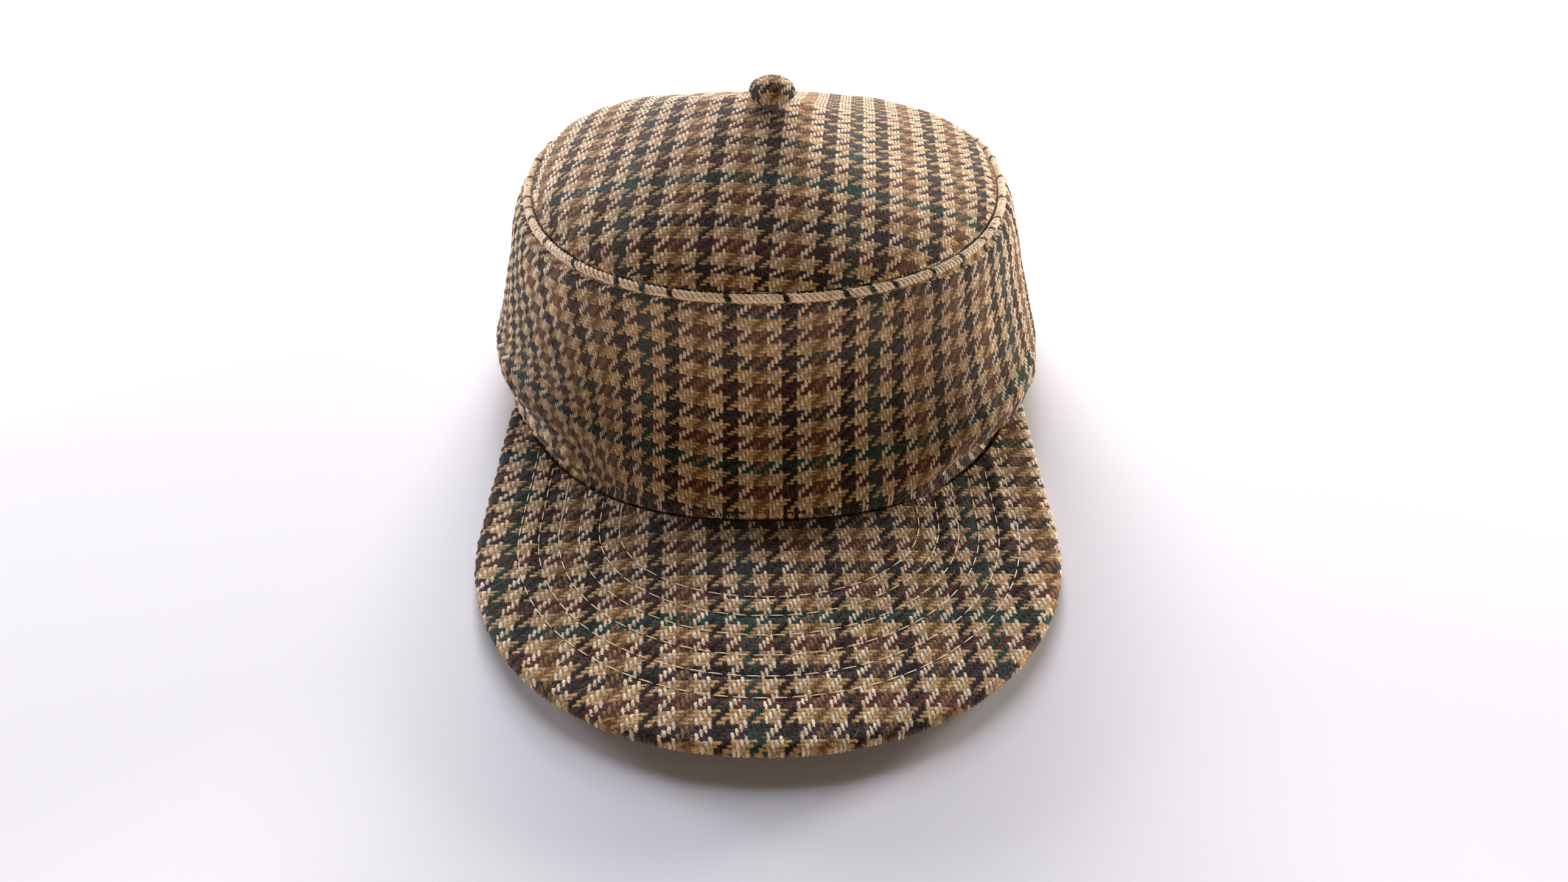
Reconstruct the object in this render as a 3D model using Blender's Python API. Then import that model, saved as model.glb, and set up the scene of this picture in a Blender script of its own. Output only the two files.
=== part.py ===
"""A tweed cap: an upright side band, a domed top panel joined to it by a raised
seam, a cloth-covered button and a flat visor.

Metres, +Z up. The visor points to -Y. The cap stands on its lower edge, with the
middle of its bounding box over the origin.
"""
import math

import bmesh
import bpy
from mathutils import Vector

# Driving sizes of the crown
HEAD_WIDTH = 0.175
HEAD_LENGTH = 0.198
TOP_WIDTH = 0.165
TOP_LENGTH = 0.175
TOP_SETBACK = 0.029
BAND_HEIGHT = 0.066
BACK_DROP = 0.014
SIDE_BULGE = 0.008
FOLD_DEPTH = 0.003
DOME_RISE = 0.024
CLOTH = 0.0025

# Driving sizes of the seam, the visor and the button
WELT_RADIUS = 0.0012
VISOR_LENGTH = 0.0815
VISOR_WIDTH = 0.172
VISOR_THICKNESS = 0.0042
VISOR_BACK = 0.058
VISOR_TIP = 0.0043
VISOR_FLOOR_GAP = 0.001
VISOR_ARCH = 0.0015
VISOR_LIFT = 0.002
BUTTON_WIDTH = 0.0148
BUTTON_HEIGHT = 0.0085
BUTTON_SIDEWAYS = 0.0025
GAP = 0.0003

# Roundness of the ovals: 2 is an ellipse, more is squarer. That of the button's profile
# is the power of its cosine: less is squarer.
HEAD_CORNER = 2.4
TOP_CORNER = 2.25
BACK_CORNER = 2.15
VISOR_CORNER = 2.1
BUTTON_PROFILE = 0.85

# Where an oval is widest, and where the dome is highest, as shares of their lengths
HEAD_WIDEST = 0.52
TOP_WIDEST = 0.58
DOME_TOP = 0.45

# Share of a quarter of the visor's oval that its length gives, to space its points
RIM_EVENNESS = 1.3

# Fineness of the meshes
AROUND = 80
BAND_STEPS = 13
TOP_STEPS = 11
VISOR_STEPS = 45
WELT_SIDES = 8
BUTTON_SIDES = 24
BUTTON_STEPS = 8
CURVE_STEPS = 400
SHARP_ANGLE = 50

# How the band's top edge turns in under the welt: its shoulder, the row below the
# welt, and the edge, which lies inside the welt
SHOULDER_DROP = WELT_RADIUS * 3.0
UNDER_INSET = WELT_RADIUS * 0.2
UNDER_DROP = WELT_RADIUS * 1.6
TUCK = WELT_RADIUS * 1.6

# The band's foot is upright as far up as the visor that is sewn to it
FOOT = VISOR_FLOOR_GAP + VISOR_THICKNESS + VISOR_ARCH

# Sections of the band above its foot. Height is the way from the foot's top (0) to the
# top seam (1). Sides, front and back are the way from the foot's oval (0) to the top
# seam's oval (1). Bulge is a share of SIDE_BULGE, outwards at the sides and back, and
# corner a share of the front's roundness.
BAND_SECTIONS = (
    # height, sides, front, back, bulge, corner
    (0.00, 0.00, 0.00, 0.00, 0.00, 1.00),
    (0.08, 0.00, 0.22, 0.05, 0.75, 1.14),
    (0.19, 0.02, 0.50, 0.10, 1.00, 1.16),
    (0.31, 0.05, 0.74, 0.20, 0.92, 1.08),
    (0.47, 0.12, 0.90, 0.35, 0.72, 1.03),
    (0.64, 0.25, 0.98, 0.55, 0.52, 1.00),
    (0.83, 0.45, 1.00, 0.80, 0.36, 1.00),
    (0.93, 0.70, 1.00, 0.90, 0.22, 1.00),
    (1.00, 1.00, 1.00, 1.00, 0.00, 1.00),
)

# Folds of the band. Turn is the angle from the front towards +X in degrees, height the
# same way as above, reach a share of FOLD_DEPTH, outwards when positive. Spread is in
# degrees along the fold, and height_spread is a share of the height.
BAND_FOLDS = (
    # turn, height, reach, spread, height_spread
    (44.0, 0.17, 0.90, 20.0, 0.08),
    (40.0, 0.04, -0.70, 18.0, 0.05),
    (-52.0, 0.22, 0.80, 16.0, 0.08),
    (-46.0, 0.07, -0.80, 18.0, 0.07),
    (-96.0, 0.39, -0.50, 14.0, 0.18),
    (104.0, 0.44, -0.50, 16.0, 0.16),
    (150.0, 0.33, 0.60, 20.0, 0.20),
    (-150.0, 0.28, -0.60, 18.0, 0.18),
)
FOLD_START = 0.10

# The back bulges by this share of what the sides do
BACK_BULGE = 0.6

# The visor's cross-section, once round. Forward is the way from its inner edge (0) to
# its outer edge (1), inset and height are shares of its thickness.
VISOR_RING = (
    # forward, inset, height
    (0.00, 0.00, 1.00),
    (0.30, 0.00, 1.00),
    (0.65, 0.00, 1.00),
    (1.00, 0.50, 1.00),
    (1.00, 0.15, 0.85),
    (1.00, 0.00, 0.50),
    (1.00, 0.15, 0.15),
    (1.00, 0.50, 0.00),
    (0.50, 0.00, 0.00),
    (0.00, 0.00, 0.00),
)

# Colour, as linear red, green and blue, and roughness
LOOKS = {
    "crown_band": ((0.165, 0.098, 0.048), 0.95),
    "crown_top": ((0.185, 0.115, 0.060), 0.95),
    "top_seam_welt": ((0.250, 0.165, 0.090), 0.95),
    "visor": ((0.150, 0.090, 0.045), 0.95),
    "top_button": ((0.190, 0.125, 0.070), 0.95),
}

# Sections of the top panel, from its middle to its rim. Reach is the way to the rim,
# and the other columns are shares of the rise from the rim to the middle.
DOME_SECTIONS = (
    # reach, front, right, back, left
    (0.00, 1.00, 1.00, 1.00, 1.00),
    (0.12, 0.98, 0.95, 0.95, 0.98),
    (0.30, 0.91, 0.77, 0.74, 0.90),
    (0.50, 0.78, 0.57, 0.54, 0.74),
    (0.70, 0.58, 0.39, 0.36, 0.56),
    (0.85, 0.38, 0.26, 0.22, 0.38),
    (0.95, 0.20, 0.13, 0.10, 0.19),
    (1.00, 0.00, 0.00, 0.00, 0.00),
)


def clear_scene():
    for item in list(bpy.data.objects):
        bpy.data.objects.remove(item, do_unlink=True)


def material(name, colour, roughness):
    """A plain cloth material, with its colour as linear red, green and blue."""
    made = bpy.data.materials.new(name)
    made.use_nodes = True
    made.diffuse_color = (*colour, 1.0)
    shader = made.node_tree.nodes["Principled BSDF"]
    shader.inputs["Base Color"].default_value = (*colour, 1.0)
    shader.inputs["Roughness"].default_value = roughness
    shader.inputs["Metallic"].default_value = 0.0
    return made


def blend(low, high, share):
    return low + (high - low) * share


def signed_power(value, power):
    return math.copysign(abs(value) ** power, value)


def slope(rows, index, column):
    """The slope of a table's column at a row: 0 at its ends, peaks and level stretches."""
    if index in (0, len(rows) - 1):
        return 0.0
    before, here, after = rows[index - 1 : index + 2]
    if (here[column] - before[column]) * (after[column] - here[column]) <= 0:
        return 0.0
    return (after[column] - before[column]) / (after[0] - before[0])


def section(rows, at):
    """A table's values at a share in its first column, read smoothly between rows."""
    index = max(i for i in range(len(rows) - 1) if i == 0 or rows[i][0] <= at)
    below, above = rows[index], rows[index + 1]
    span = above[0] - below[0]
    share = (at - below[0]) / span
    square, cube = share ** 2, share ** 3
    values = []
    for column in range(1, len(below)):
        value = (2 * cube - 3 * square + 1) * below[column]
        value += (3 * square - 2 * cube) * above[column]
        value += (cube - 2 * square + share) * span * slope(rows, index, column)
        value += (cube - square) * span * slope(rows, index + 1, column)
        values.append(value)
    return values


def oval_point(turn, half_width, front, back, corner, widest):
    """A point of an oval about the Z axis. Turn runs from the front (-Y) towards +X.
    Front and back are where the oval crosses the middle plane, and widest is the share
    of its length at which it is widest."""
    middle = blend(front, back, widest)
    sideways, forwards = math.sin(turn), math.cos(turn)
    x = half_width * signed_power(sideways, 2 / (corner if forwards > 0 else BACK_CORNER))
    if forwards > 0:
        y = middle - (middle - front) * forwards ** (2 / corner)
    else:
        y = middle + (back - middle) * (-forwards) ** (2 / BACK_CORNER)
    return x, y


def seam_drop(y):
    """How far the crown is lower than at its front, at the top seam."""
    return BACK_DROP * (y - TOP_SETBACK) / TOP_LENGTH


def fold_offset(turn, height):
    """How far the folds push the band outwards, at a turn and a way above the foot."""
    offset = 0.0
    for fold_turn, fold_height, reach, spread, height_spread in BAND_FOLDS:
        away = math.degrees(turn) - fold_turn
        away -= 360 * round(away / 360)
        along = away / spread
        across = (height - fold_height) / height_spread
        offset += reach * FOLD_DEPTH * math.exp(-along ** 2 - across ** 2)
    return offset * min(height / FOLD_START, 1.0)


def band_point(turn, share):
    """A point of the band's outer face, at a turn and a share of the band's height."""
    height = max((share * BAND_HEIGHT - FOOT) / (BAND_HEIGHT - FOOT), 0.0)
    sides, front_way, back_way, bulge, corner = section(BAND_SECTIONS, height)
    bulge_size = bulge * SIDE_BULGE
    x, y = oval_point(
        turn,
        blend(HEAD_WIDTH, TOP_WIDTH, sides) / 2 + bulge_size,
        blend(0.0, TOP_SETBACK, front_way),
        blend(HEAD_LENGTH, TOP_SETBACK + TOP_LENGTH, back_way) + bulge_size * BACK_BULGE,
        blend(HEAD_CORNER, TOP_CORNER, height) * corner,
        blend(HEAD_WIDEST, TOP_WIDEST, height),
    )
    push = fold_offset(turn, height)
    x += push * math.sin(turn)
    y -= push * math.cos(turn)
    return Vector((x, y, share * (BAND_HEIGHT - max(seam_drop(y), 0.0))))


def seam_point(turn, inset, rise):
    """A point near the top seam: inset towards the middle, rise above the seam."""
    x, y = oval_point(
        turn,
        TOP_WIDTH / 2 - inset,
        TOP_SETBACK + inset,
        TOP_SETBACK + TOP_LENGTH - inset,
        TOP_CORNER,
        TOP_WIDEST,
    )
    return Vector((x, y, BAND_HEIGHT - seam_drop(y) + rise))


def dome_point(turn, reach):
    """A point of the top panel's outer face. Reach is 1 at its rim, 0 at the middle."""
    rim = seam_point(turn, TUCK, WELT_RADIUS)
    middle = Vector((0.0, TOP_SETBACK + TOP_LENGTH * DOME_TOP, BAND_HEIGHT + DOME_RISE))
    front, right, back, left = section(DOME_SECTIONS, reach)
    forwards, sideways = math.cos(turn), math.sin(turn)
    rise = (front if forwards > 0 else back) * forwards ** 2
    rise += (right if sideways > 0 else left) * sideways ** 2
    point = middle.lerp(rim, reach)
    point.z = blend(rim.z, middle.z, rise)
    return point


def wrapped_grid(columns, rows, place, wrap_columns=True, close_rows=False):
    """A mesh from a grid. Place gives the point for a column share and a row share.
    The last column meets the first with wrap_columns, the last row with close_rows."""
    mesh = bmesh.new()
    bmesh.ops.create_grid(mesh, x_segments=columns, y_segments=rows, size=0.5)
    for vertex in mesh.verts:
        across, up = vertex.co.x + 0.5, vertex.co.y + 0.5
        if wrap_columns and across > 1 - 0.5 / columns:
            across = 0.0
        if close_rows and up > 1 - 0.5 / rows:
            up = 0.0
        vertex.co = place(across, up)
    bmesh.ops.remove_doubles(mesh, verts=mesh.verts[:], dist=0.000001)
    bmesh.ops.recalc_face_normals(mesh, faces=mesh.faces[:])
    return mesh


def thicken(mesh):
    """Turn an open sheet, whose faces point outwards, into a wall of cloth."""
    bmesh.ops.solidify(mesh, geom=mesh.faces[:], thickness=CLOTH)
    bmesh.ops.recalc_face_normals(mesh, faces=mesh.faces[:])


def band_mesh():
    """The side wall, level at its foot. Its last two rows turn in under the welt."""
    wall_rows = BAND_STEPS - 2
    shoulder = (BAND_HEIGHT - SHOULDER_DROP) / BAND_HEIGHT

    def place(across, up):
        turn = 2 * math.pi * across
        row = round(up * BAND_STEPS)
        if row == wall_rows + 1:
            return seam_point(turn, UNDER_INSET, -UNDER_DROP)
        if row == wall_rows + 2:
            return seam_point(turn, TUCK, -GAP / 2)
        return band_point(turn, shoulder * row / wall_rows)

    mesh = wrapped_grid(AROUND, BAND_STEPS, place)
    thicken(mesh)
    for vertex in mesh.verts:
        if abs(vertex.co.z) < FOOT / 4:
            vertex.co.z = 0.0
    return mesh


def top_mesh():
    """The top panel. Its first row stands upright beside the seam's welt."""
    dome_rows = TOP_STEPS - 1

    def place(across, up):
        turn = 2 * math.pi * across
        row = round(up * TOP_STEPS)
        if row == 0:
            return seam_point(turn, TUCK, GAP / 2)
        reach = 1 - (row - 1) / dome_rows
        return dome_point(turn, math.sin(math.pi / 2 * reach))

    mesh = wrapped_grid(AROUND, TOP_STEPS, place)
    thicken(mesh)
    return mesh


def welt_mesh():
    """The raised seam: a rolled edge of cloth all the way round the top."""

    def place(across, up):
        turn, roll = 2 * math.pi * across, 2 * math.pi * up
        return seam_point(turn, WELT_RADIUS * math.cos(roll), WELT_RADIUS * math.sin(roll))

    return wrapped_grid(AROUND, WELT_SIDES, place, close_rows=True)


def even_points(curve, count):
    """Points of a curve from 0 to 1, spaced evenly along it."""
    fine = [curve(step / CURVE_STEPS) for step in range(CURVE_STEPS + 1)]
    lengths = [0.0]
    for before, after in zip(fine, fine[1:]):
        lengths.append(lengths[-1] + (after - before).length)
    points, index = [], 0
    for step in range(count + 1):
        wanted = lengths[-1] * step / count
        while index < CURVE_STEPS - 1 and lengths[index + 1] < wanted:
            index += 1
        span = lengths[index + 1] - lengths[index]
        points.append(fine[index].lerp(fine[index + 1], (wanted - lengths[index]) / span))
    return points


def foot_line(share):
    """The visor's inner edge, which follows the foot of the band."""
    front_half = HEAD_LENGTH * HEAD_WIDEST
    last = math.acos((1 - VISOR_BACK / front_half) ** (HEAD_CORNER / 2))
    x, y = oval_point(
        blend(-last, last, share),
        HEAD_WIDTH / 2 + GAP,
        -GAP,
        HEAD_LENGTH + GAP,
        HEAD_CORNER,
        HEAD_WIDEST,
    )
    return Vector((x, y, 0.0))


def rim_line(inset):
    """The visor's outer edge: straight sides from its tips, and a half oval in front."""
    half_width, length = VISOR_WIDTH / 2 - inset, VISOR_LENGTH - inset
    tip = foot_line(1.0) + Vector((VISOR_TIP - inset, 0.0, 0.0))
    side = tip.y / (tip.y + RIM_EVENNESS * length)

    def curve(share):
        from_tip = 1 - abs(2 * share - 1)
        direction = math.copysign(1.0, share - 0.5)
        if from_tip < side:
            back = 1 - from_tip / side
            return Vector((direction * blend(half_width, tip.x, back), tip.y * back, 0.0))
        turn = math.pi / 2 * (from_tip - side) / (1 - side)
        x = half_width * signed_power(math.cos(turn), 2 / VISOR_CORNER)
        y = -length * signed_power(math.sin(turn), 2 / VISOR_CORNER)
        return Vector((direction * x, y, 0.0))

    return curve


def visor_middle(point):
    """Height of the middle of the visor's thickness: arched across, lifted in front."""
    across = point.x / (VISOR_WIDTH / 2)
    forwards = max(-point.y / VISOR_LENGTH, 0.0)
    base = VISOR_FLOOR_GAP + VISOR_THICKNESS / 2
    return base + VISOR_ARCH * (1 - across ** 2) + VISOR_LIFT * forwards


def visor_mesh():
    """The visor: a closed ring of points at each column, capped at its two tips."""
    foot = even_points(foot_line, VISOR_STEPS)
    rims = {
        inset: even_points(rim_line(inset * VISOR_THICKNESS), VISOR_STEPS)
        for _, inset, _ in VISOR_RING
    }

    def place(across, up):
        column = round(across * VISOR_STEPS)
        forward, inset, height = VISOR_RING[round(up * len(VISOR_RING)) % len(VISOR_RING)]
        point = foot[column].lerp(rims[inset][column], forward)
        point.z = visor_middle(point) + VISOR_THICKNESS * (height - 0.5)
        return point

    mesh = wrapped_grid(VISOR_STEPS, len(VISOR_RING), place, wrap_columns=False, close_rows=True)
    bmesh.ops.holes_fill(mesh, edges=mesh.edges[:], sides=0)
    bmesh.ops.recalc_face_normals(mesh, faces=mesh.faces[:])
    return mesh


def button_mesh():
    """The button: a flattened ball of cloth on the middle of the top panel."""
    base = dome_point(0.0, 0.0) + Vector((BUTTON_SIDEWAYS, 0.0, GAP))

    def place(across, up):
        turn, tilt = 2 * math.pi * across, math.pi * (up - 0.5)
        radius = BUTTON_WIDTH / 2 * abs(math.cos(tilt)) ** BUTTON_PROFILE
        height = BUTTON_HEIGHT / 2 * (1 + math.sin(tilt))
        return base + Vector((radius * math.sin(turn), -radius * math.cos(turn), height))

    return wrapped_grid(BUTTON_SIDES, BUTTON_STEPS, place)


def finish(name, mesh, made_material, shift):
    """Make the named object from its mesh, moved by shift."""
    bmesh.ops.translate(mesh, verts=mesh.verts[:], vec=shift)
    data = bpy.data.meshes.new(name)
    mesh.to_mesh(data)
    mesh.free()
    data.shade_smooth()
    data.set_sharp_from_angle(angle=math.radians(SHARP_ANGLE))
    data.materials.append(made_material)
    item = bpy.data.objects.new(name, data)
    bpy.context.collection.objects.link(item)


def build():
    clear_scene()
    meshes = {
        "crown_band": band_mesh(),
        "crown_top": top_mesh(),
        "top_seam_welt": welt_mesh(),
        "visor": visor_mesh(),
        "top_button": button_mesh(),
    }
    corners = [vertex.co for mesh in meshes.values() for vertex in mesh.verts]
    low = Vector([min(corner[axis] for corner in corners) for axis in range(3)])
    high = Vector([max(corner[axis] for corner in corners) for axis in range(3)])
    shift = Vector((-(low.x + high.x) / 2, -(low.y + high.y) / 2, -low.z))
    for name, mesh in meshes.items():
        finish(name, mesh, material(name, *LOOKS[name]), shift)


build()
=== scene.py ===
# %% [markdown]
# A flat-topped tweed cap: an upright band, a domed top panel, the rolled seam between
# them, a cloth-covered button and a stitched visor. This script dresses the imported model
# with cloth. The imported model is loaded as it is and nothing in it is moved.

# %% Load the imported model
import math
import random

import bmesh
import bpy
import numpy as np
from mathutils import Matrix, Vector, kdtree, noise


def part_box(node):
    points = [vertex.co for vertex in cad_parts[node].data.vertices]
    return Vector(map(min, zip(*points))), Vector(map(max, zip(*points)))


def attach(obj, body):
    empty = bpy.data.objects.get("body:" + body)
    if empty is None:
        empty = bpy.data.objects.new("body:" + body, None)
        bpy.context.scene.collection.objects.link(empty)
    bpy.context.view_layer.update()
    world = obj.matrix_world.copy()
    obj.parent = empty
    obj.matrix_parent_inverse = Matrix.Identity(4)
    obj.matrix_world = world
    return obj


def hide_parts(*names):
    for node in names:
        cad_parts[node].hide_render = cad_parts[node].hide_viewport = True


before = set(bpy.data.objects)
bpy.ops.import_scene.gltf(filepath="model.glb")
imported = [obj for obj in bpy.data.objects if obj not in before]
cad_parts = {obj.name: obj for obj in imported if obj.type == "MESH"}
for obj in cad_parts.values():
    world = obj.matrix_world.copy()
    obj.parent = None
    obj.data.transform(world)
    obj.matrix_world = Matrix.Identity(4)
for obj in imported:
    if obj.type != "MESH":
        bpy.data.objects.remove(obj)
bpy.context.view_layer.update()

# %% [markdown]
# The camera comes first, because every later choice is judged through it. The photograph
# looks down at the cap from in front, about 40 degrees below level, from quite near, so
# the visor looms. A lens of 25 mm on a 36 mm sensor gives the same spread.

# %% Camera
CAMERA_PLACE = (0.0003, -0.2973, 0.2351)
CAMERA_TILT = math.radians(50.0)
CAMERA_TURN = math.radians(-1.0)
PHOTO_FOCUS, PHOTO_WIDTH, SENSOR = 1800.0, 2576.0, 36.0

camera_data = bpy.data.cameras.new("camera")
camera_data.sensor_width = SENSOR
camera_data.lens = SENSOR * PHOTO_FOCUS / PHOTO_WIDTH
camera_data.clip_start = 0.01
camera = bpy.data.objects.new("camera", camera_data)
camera.location = CAMERA_PLACE
camera.rotation_euler = (CAMERA_TILT, 0.0, CAMERA_TURN)
bpy.context.collection.objects.link(camera)
bpy.context.scene.camera = camera
bpy.context.scene.view_settings.view_transform = "Standard"
print("lens, mm:", round(camera_data.lens, 2))

# %% [markdown]
# The cap's form is told by a few sizes and tables of sections: how wide, how far forward
# and how round it is at each height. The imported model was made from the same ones, so
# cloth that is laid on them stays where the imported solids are.

# %% Sizes of the cap, in metres
HEAD_WIDTH, HEAD_LENGTH = 0.175, 0.198
TOP_WIDTH, TOP_LENGTH, TOP_SETBACK = 0.165, 0.175, 0.029
BAND_HEIGHT, BACK_DROP = 0.066, 0.014
SIDE_BULGE, BACK_BULGE, FOLD_DEPTH = 0.008, 0.6, 0.003
DOME_RISE, CLOTH, GAP = 0.024, 0.0025, 0.0003
WELT_RADIUS = 0.0012
VISOR_LENGTH, VISOR_WIDTH, VISOR_THICKNESS = 0.0815, 0.172, 0.0042
VISOR_BACK, VISOR_TIP = 0.058, 0.0043
VISOR_FLOOR_GAP, VISOR_ARCH, VISOR_LIFT = 0.001, 0.0015, 0.002
BUTTON_WIDTH, BUTTON_HEIGHT, BUTTON_SIDEWAYS = 0.0148, 0.0085, 0.0025
HEAD_CORNER, TOP_CORNER, BACK_CORNER, VISOR_CORNER = 2.4, 2.25, 2.15, 2.1
BUTTON_PROFILE = 0.85
HEAD_WIDEST, TOP_WIDEST, DOME_TOP = 0.52, 0.58, 0.45
RIM_EVENNESS = 1.3
SHOULDER_DROP = WELT_RADIUS * 3.0
UNDER_INSET, UNDER_DROP, TUCK = WELT_RADIUS * 0.2, WELT_RADIUS * 1.6, WELT_RADIUS * 1.6
FOOT = VISOR_FLOOR_GAP + VISOR_THICKNESS + VISOR_ARCH
FOLD_START = 0.10

BAND_SECTIONS = (
    # height, sides, front, back, bulge, corner
    (0.00, 0.00, 0.00, 0.00, 0.00, 1.00),
    (0.08, 0.00, 0.22, 0.05, 0.75, 1.14),
    (0.19, 0.02, 0.50, 0.10, 1.00, 1.16),
    (0.31, 0.05, 0.74, 0.20, 0.92, 1.08),
    (0.47, 0.12, 0.90, 0.35, 0.72, 1.03),
    (0.64, 0.25, 0.98, 0.55, 0.52, 1.00),
    (0.83, 0.45, 1.00, 0.80, 0.36, 1.00),
    (0.93, 0.70, 1.00, 0.90, 0.22, 1.00),
    (1.00, 1.00, 1.00, 1.00, 0.00, 1.00),
)
BAND_FOLDS = (
    # turn, height, reach, spread, height_spread
    (44.0, 0.17, 0.90, 20.0, 0.08),
    (40.0, 0.04, -0.70, 18.0, 0.05),
    (-52.0, 0.22, 0.80, 16.0, 0.08),
    (-46.0, 0.07, -0.80, 18.0, 0.07),
    (-96.0, 0.39, -0.50, 14.0, 0.18),
    (104.0, 0.44, -0.50, 16.0, 0.16),
    (150.0, 0.33, 0.60, 20.0, 0.20),
    (-150.0, 0.28, -0.60, 18.0, 0.18),
)
DOME_SECTIONS = (
    # reach, front, right, back, left
    (0.00, 1.00, 1.00, 1.00, 1.00),
    (0.12, 0.98, 0.95, 0.95, 0.98),
    (0.30, 0.91, 0.77, 0.74, 0.90),
    (0.50, 0.78, 0.57, 0.54, 0.74),
    (0.70, 0.58, 0.39, 0.36, 0.56),
    (0.85, 0.38, 0.26, 0.22, 0.38),
    (0.95, 0.20, 0.13, 0.10, 0.19),
    (1.00, 0.00, 0.00, 0.00, 0.00),
)

# Where the front of the crown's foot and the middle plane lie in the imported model
FRONT_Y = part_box("crown_band")[0].y
MIDDLE_X = (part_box("visor")[0].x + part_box("visor")[1].x) / 2
SHIFT = np.array((MIDDLE_X, FRONT_Y, 0.0))
print("the crown's foot starts at y, mm:", round(1000 * FRONT_Y, 2))

# %% [markdown]
# The sections are read with arrays rather than one point at a time, because the cloth
# below has some hundred thousand points.

# %% Read the sections


def section(rows, at):
    """A table's values at places in its first column, read smoothly between its rows."""
    table = np.array(rows, dtype=float)
    keys, values = table[:, 0], table[:, 1:]
    at = np.clip(at, keys[0], keys[-1])
    slopes = np.zeros_like(values)
    rise = np.diff(values, axis=0)
    even = (values[2:] - values[:-2]) / (keys[2:] - keys[:-2])[:, None]
    slopes[1:-1] = np.where(rise[1:] * rise[:-1] > 0, even, 0.0)
    index = np.clip(np.searchsorted(keys, at, side="right") - 1, 0, len(keys) - 2)
    span = (keys[index + 1] - keys[index])[..., None]
    share = (at - keys[index])[..., None] / span
    square, cube = share ** 2, share ** 3
    read = (2 * cube - 3 * square + 1) * values[index]
    read = read + (3 * square - 2 * cube) * values[index + 1]
    read = read + (cube - 2 * square + share) * span * slopes[index]
    read = read + (cube - square) * span * slopes[index + 1]
    return np.moveaxis(read, -1, 0)


def blend(low, high, share):
    return low + (high - low) * share


def oval(turn, half_width, front, back, corner, widest):
    """Points of an oval about the Z axis, whose turn runs from the front towards +X."""
    middle = blend(front, back, widest)
    forwards, sideways = np.cos(turn), np.sin(turn)
    power = 2 / np.where(forwards > 0, corner, BACK_CORNER)
    x = half_width * np.sign(sideways) * np.abs(sideways) ** power
    length = np.where(forwards > 0, front - middle, back - middle)
    return x, middle + length * np.abs(forwards) ** power


def seam_drop(y):
    """How far the crown is lower than at its front, at the top seam."""
    return BACK_DROP * (y - TOP_SETBACK) / TOP_LENGTH


def fold_push(turn, height):
    """How far the folds push the band outwards."""
    push = 0.0
    for fold_turn, fold_height, reach, spread, height_spread in BAND_FOLDS:
        away = np.degrees(turn) - fold_turn
        away = away - 360 * np.round(away / 360)
        across = (height - fold_height) / height_spread
        push = push + reach * FOLD_DEPTH * np.exp(-((away / spread) ** 2) - across ** 2)
    return push * np.minimum(height / FOLD_START, 1.0)


def band_face(turn, share):
    """Points of the band's outer face, at turns and shares of its height."""
    turn, share = np.broadcast_arrays(turn, share)
    height = np.clip((share * BAND_HEIGHT - FOOT) / (BAND_HEIGHT - FOOT), 0.0, 1.0)
    sides, front_way, back_way, bulge, corner = section(BAND_SECTIONS, height)
    x, y = oval(
        turn,
        blend(HEAD_WIDTH, TOP_WIDTH, sides) / 2 + bulge * SIDE_BULGE,
        blend(0.0, TOP_SETBACK, front_way),
        blend(HEAD_LENGTH, TOP_SETBACK + TOP_LENGTH, back_way) + bulge * SIDE_BULGE * BACK_BULGE,
        blend(HEAD_CORNER, TOP_CORNER, height) * corner,
        blend(HEAD_WIDEST, TOP_WIDEST, height),
    )
    push = fold_push(turn, height)
    x, y = x + push * np.sin(turn), y - push * np.cos(turn)
    z = share * (BAND_HEIGHT - np.maximum(seam_drop(y), 0.0))
    return np.stack((x, y, z), axis=-1) + SHIFT


def seam_line(turn, inset, rise):
    """Points near the top seam, inset towards the middle and raised above the seam."""
    x, y = oval(
        turn,
        TOP_WIDTH / 2 - inset,
        TOP_SETBACK + inset,
        TOP_SETBACK + TOP_LENGTH - inset,
        TOP_CORNER,
        TOP_WIDEST,
    )
    return np.stack((x, y, BAND_HEIGHT - seam_drop(y) + rise), axis=-1) + SHIFT


DOME_MIDDLE = np.array((0.0, TOP_SETBACK + TOP_LENGTH * DOME_TOP, BAND_HEIGHT + DOME_RISE)) + SHIFT


def dome_face(turn, reach):
    """Points of the top panel's outer face, from its middle (0) to its rim (1)."""
    rim = seam_line(turn, TUCK, WELT_RADIUS)
    front, right, back, left = section(DOME_SECTIONS, reach)
    forwards, sideways = np.cos(turn), np.sin(turn)
    rise = np.where(forwards > 0, front, back) * forwards ** 2
    rise = rise + np.where(sideways > 0, right, left) * sideways ** 2
    point = DOME_MIDDLE + (rim - DOME_MIDDLE) * np.asarray(reach)[..., None]
    point[..., 2] = blend(rim[..., 2], DOME_MIDDLE[2], rise)
    return point


# %% [markdown]
# The cloth is a houndstooth tweed in a 2/2 twill: each thread passes over two and under
# two, a step further along in each row. Four light threads alternate with four coloured
# ones both ways. A bump alone would leave the surface flat at this size, so the twill is
# modelled: a flat grid has one face for each crossing, poke gives every face a middle,
# and where two faces belong to one float the edge between them is rotated so that it runs
# from middle to middle. Raising the middles then makes each float one long pillow.

# %% Lay out cloth, thread by thread
THREAD_MAP = "threads"
BAKE_MAP = "OFBake"
# How far yarns stand above and below the cloth, and a weft float's share of that
RELIEF, WEFT_RISE = 0.00028, 0.35
# Points that are nearer than this are joined
SAME_PLACE = 0.000002
# More than any piece has
MOST_VERTICES = 2 ** 17


def float_order(warp, weft):
    """0 and 1 are the two halves of a warp float, 2 and 3 those of a weft float."""
    return (warp + weft + 2) % 4


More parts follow.
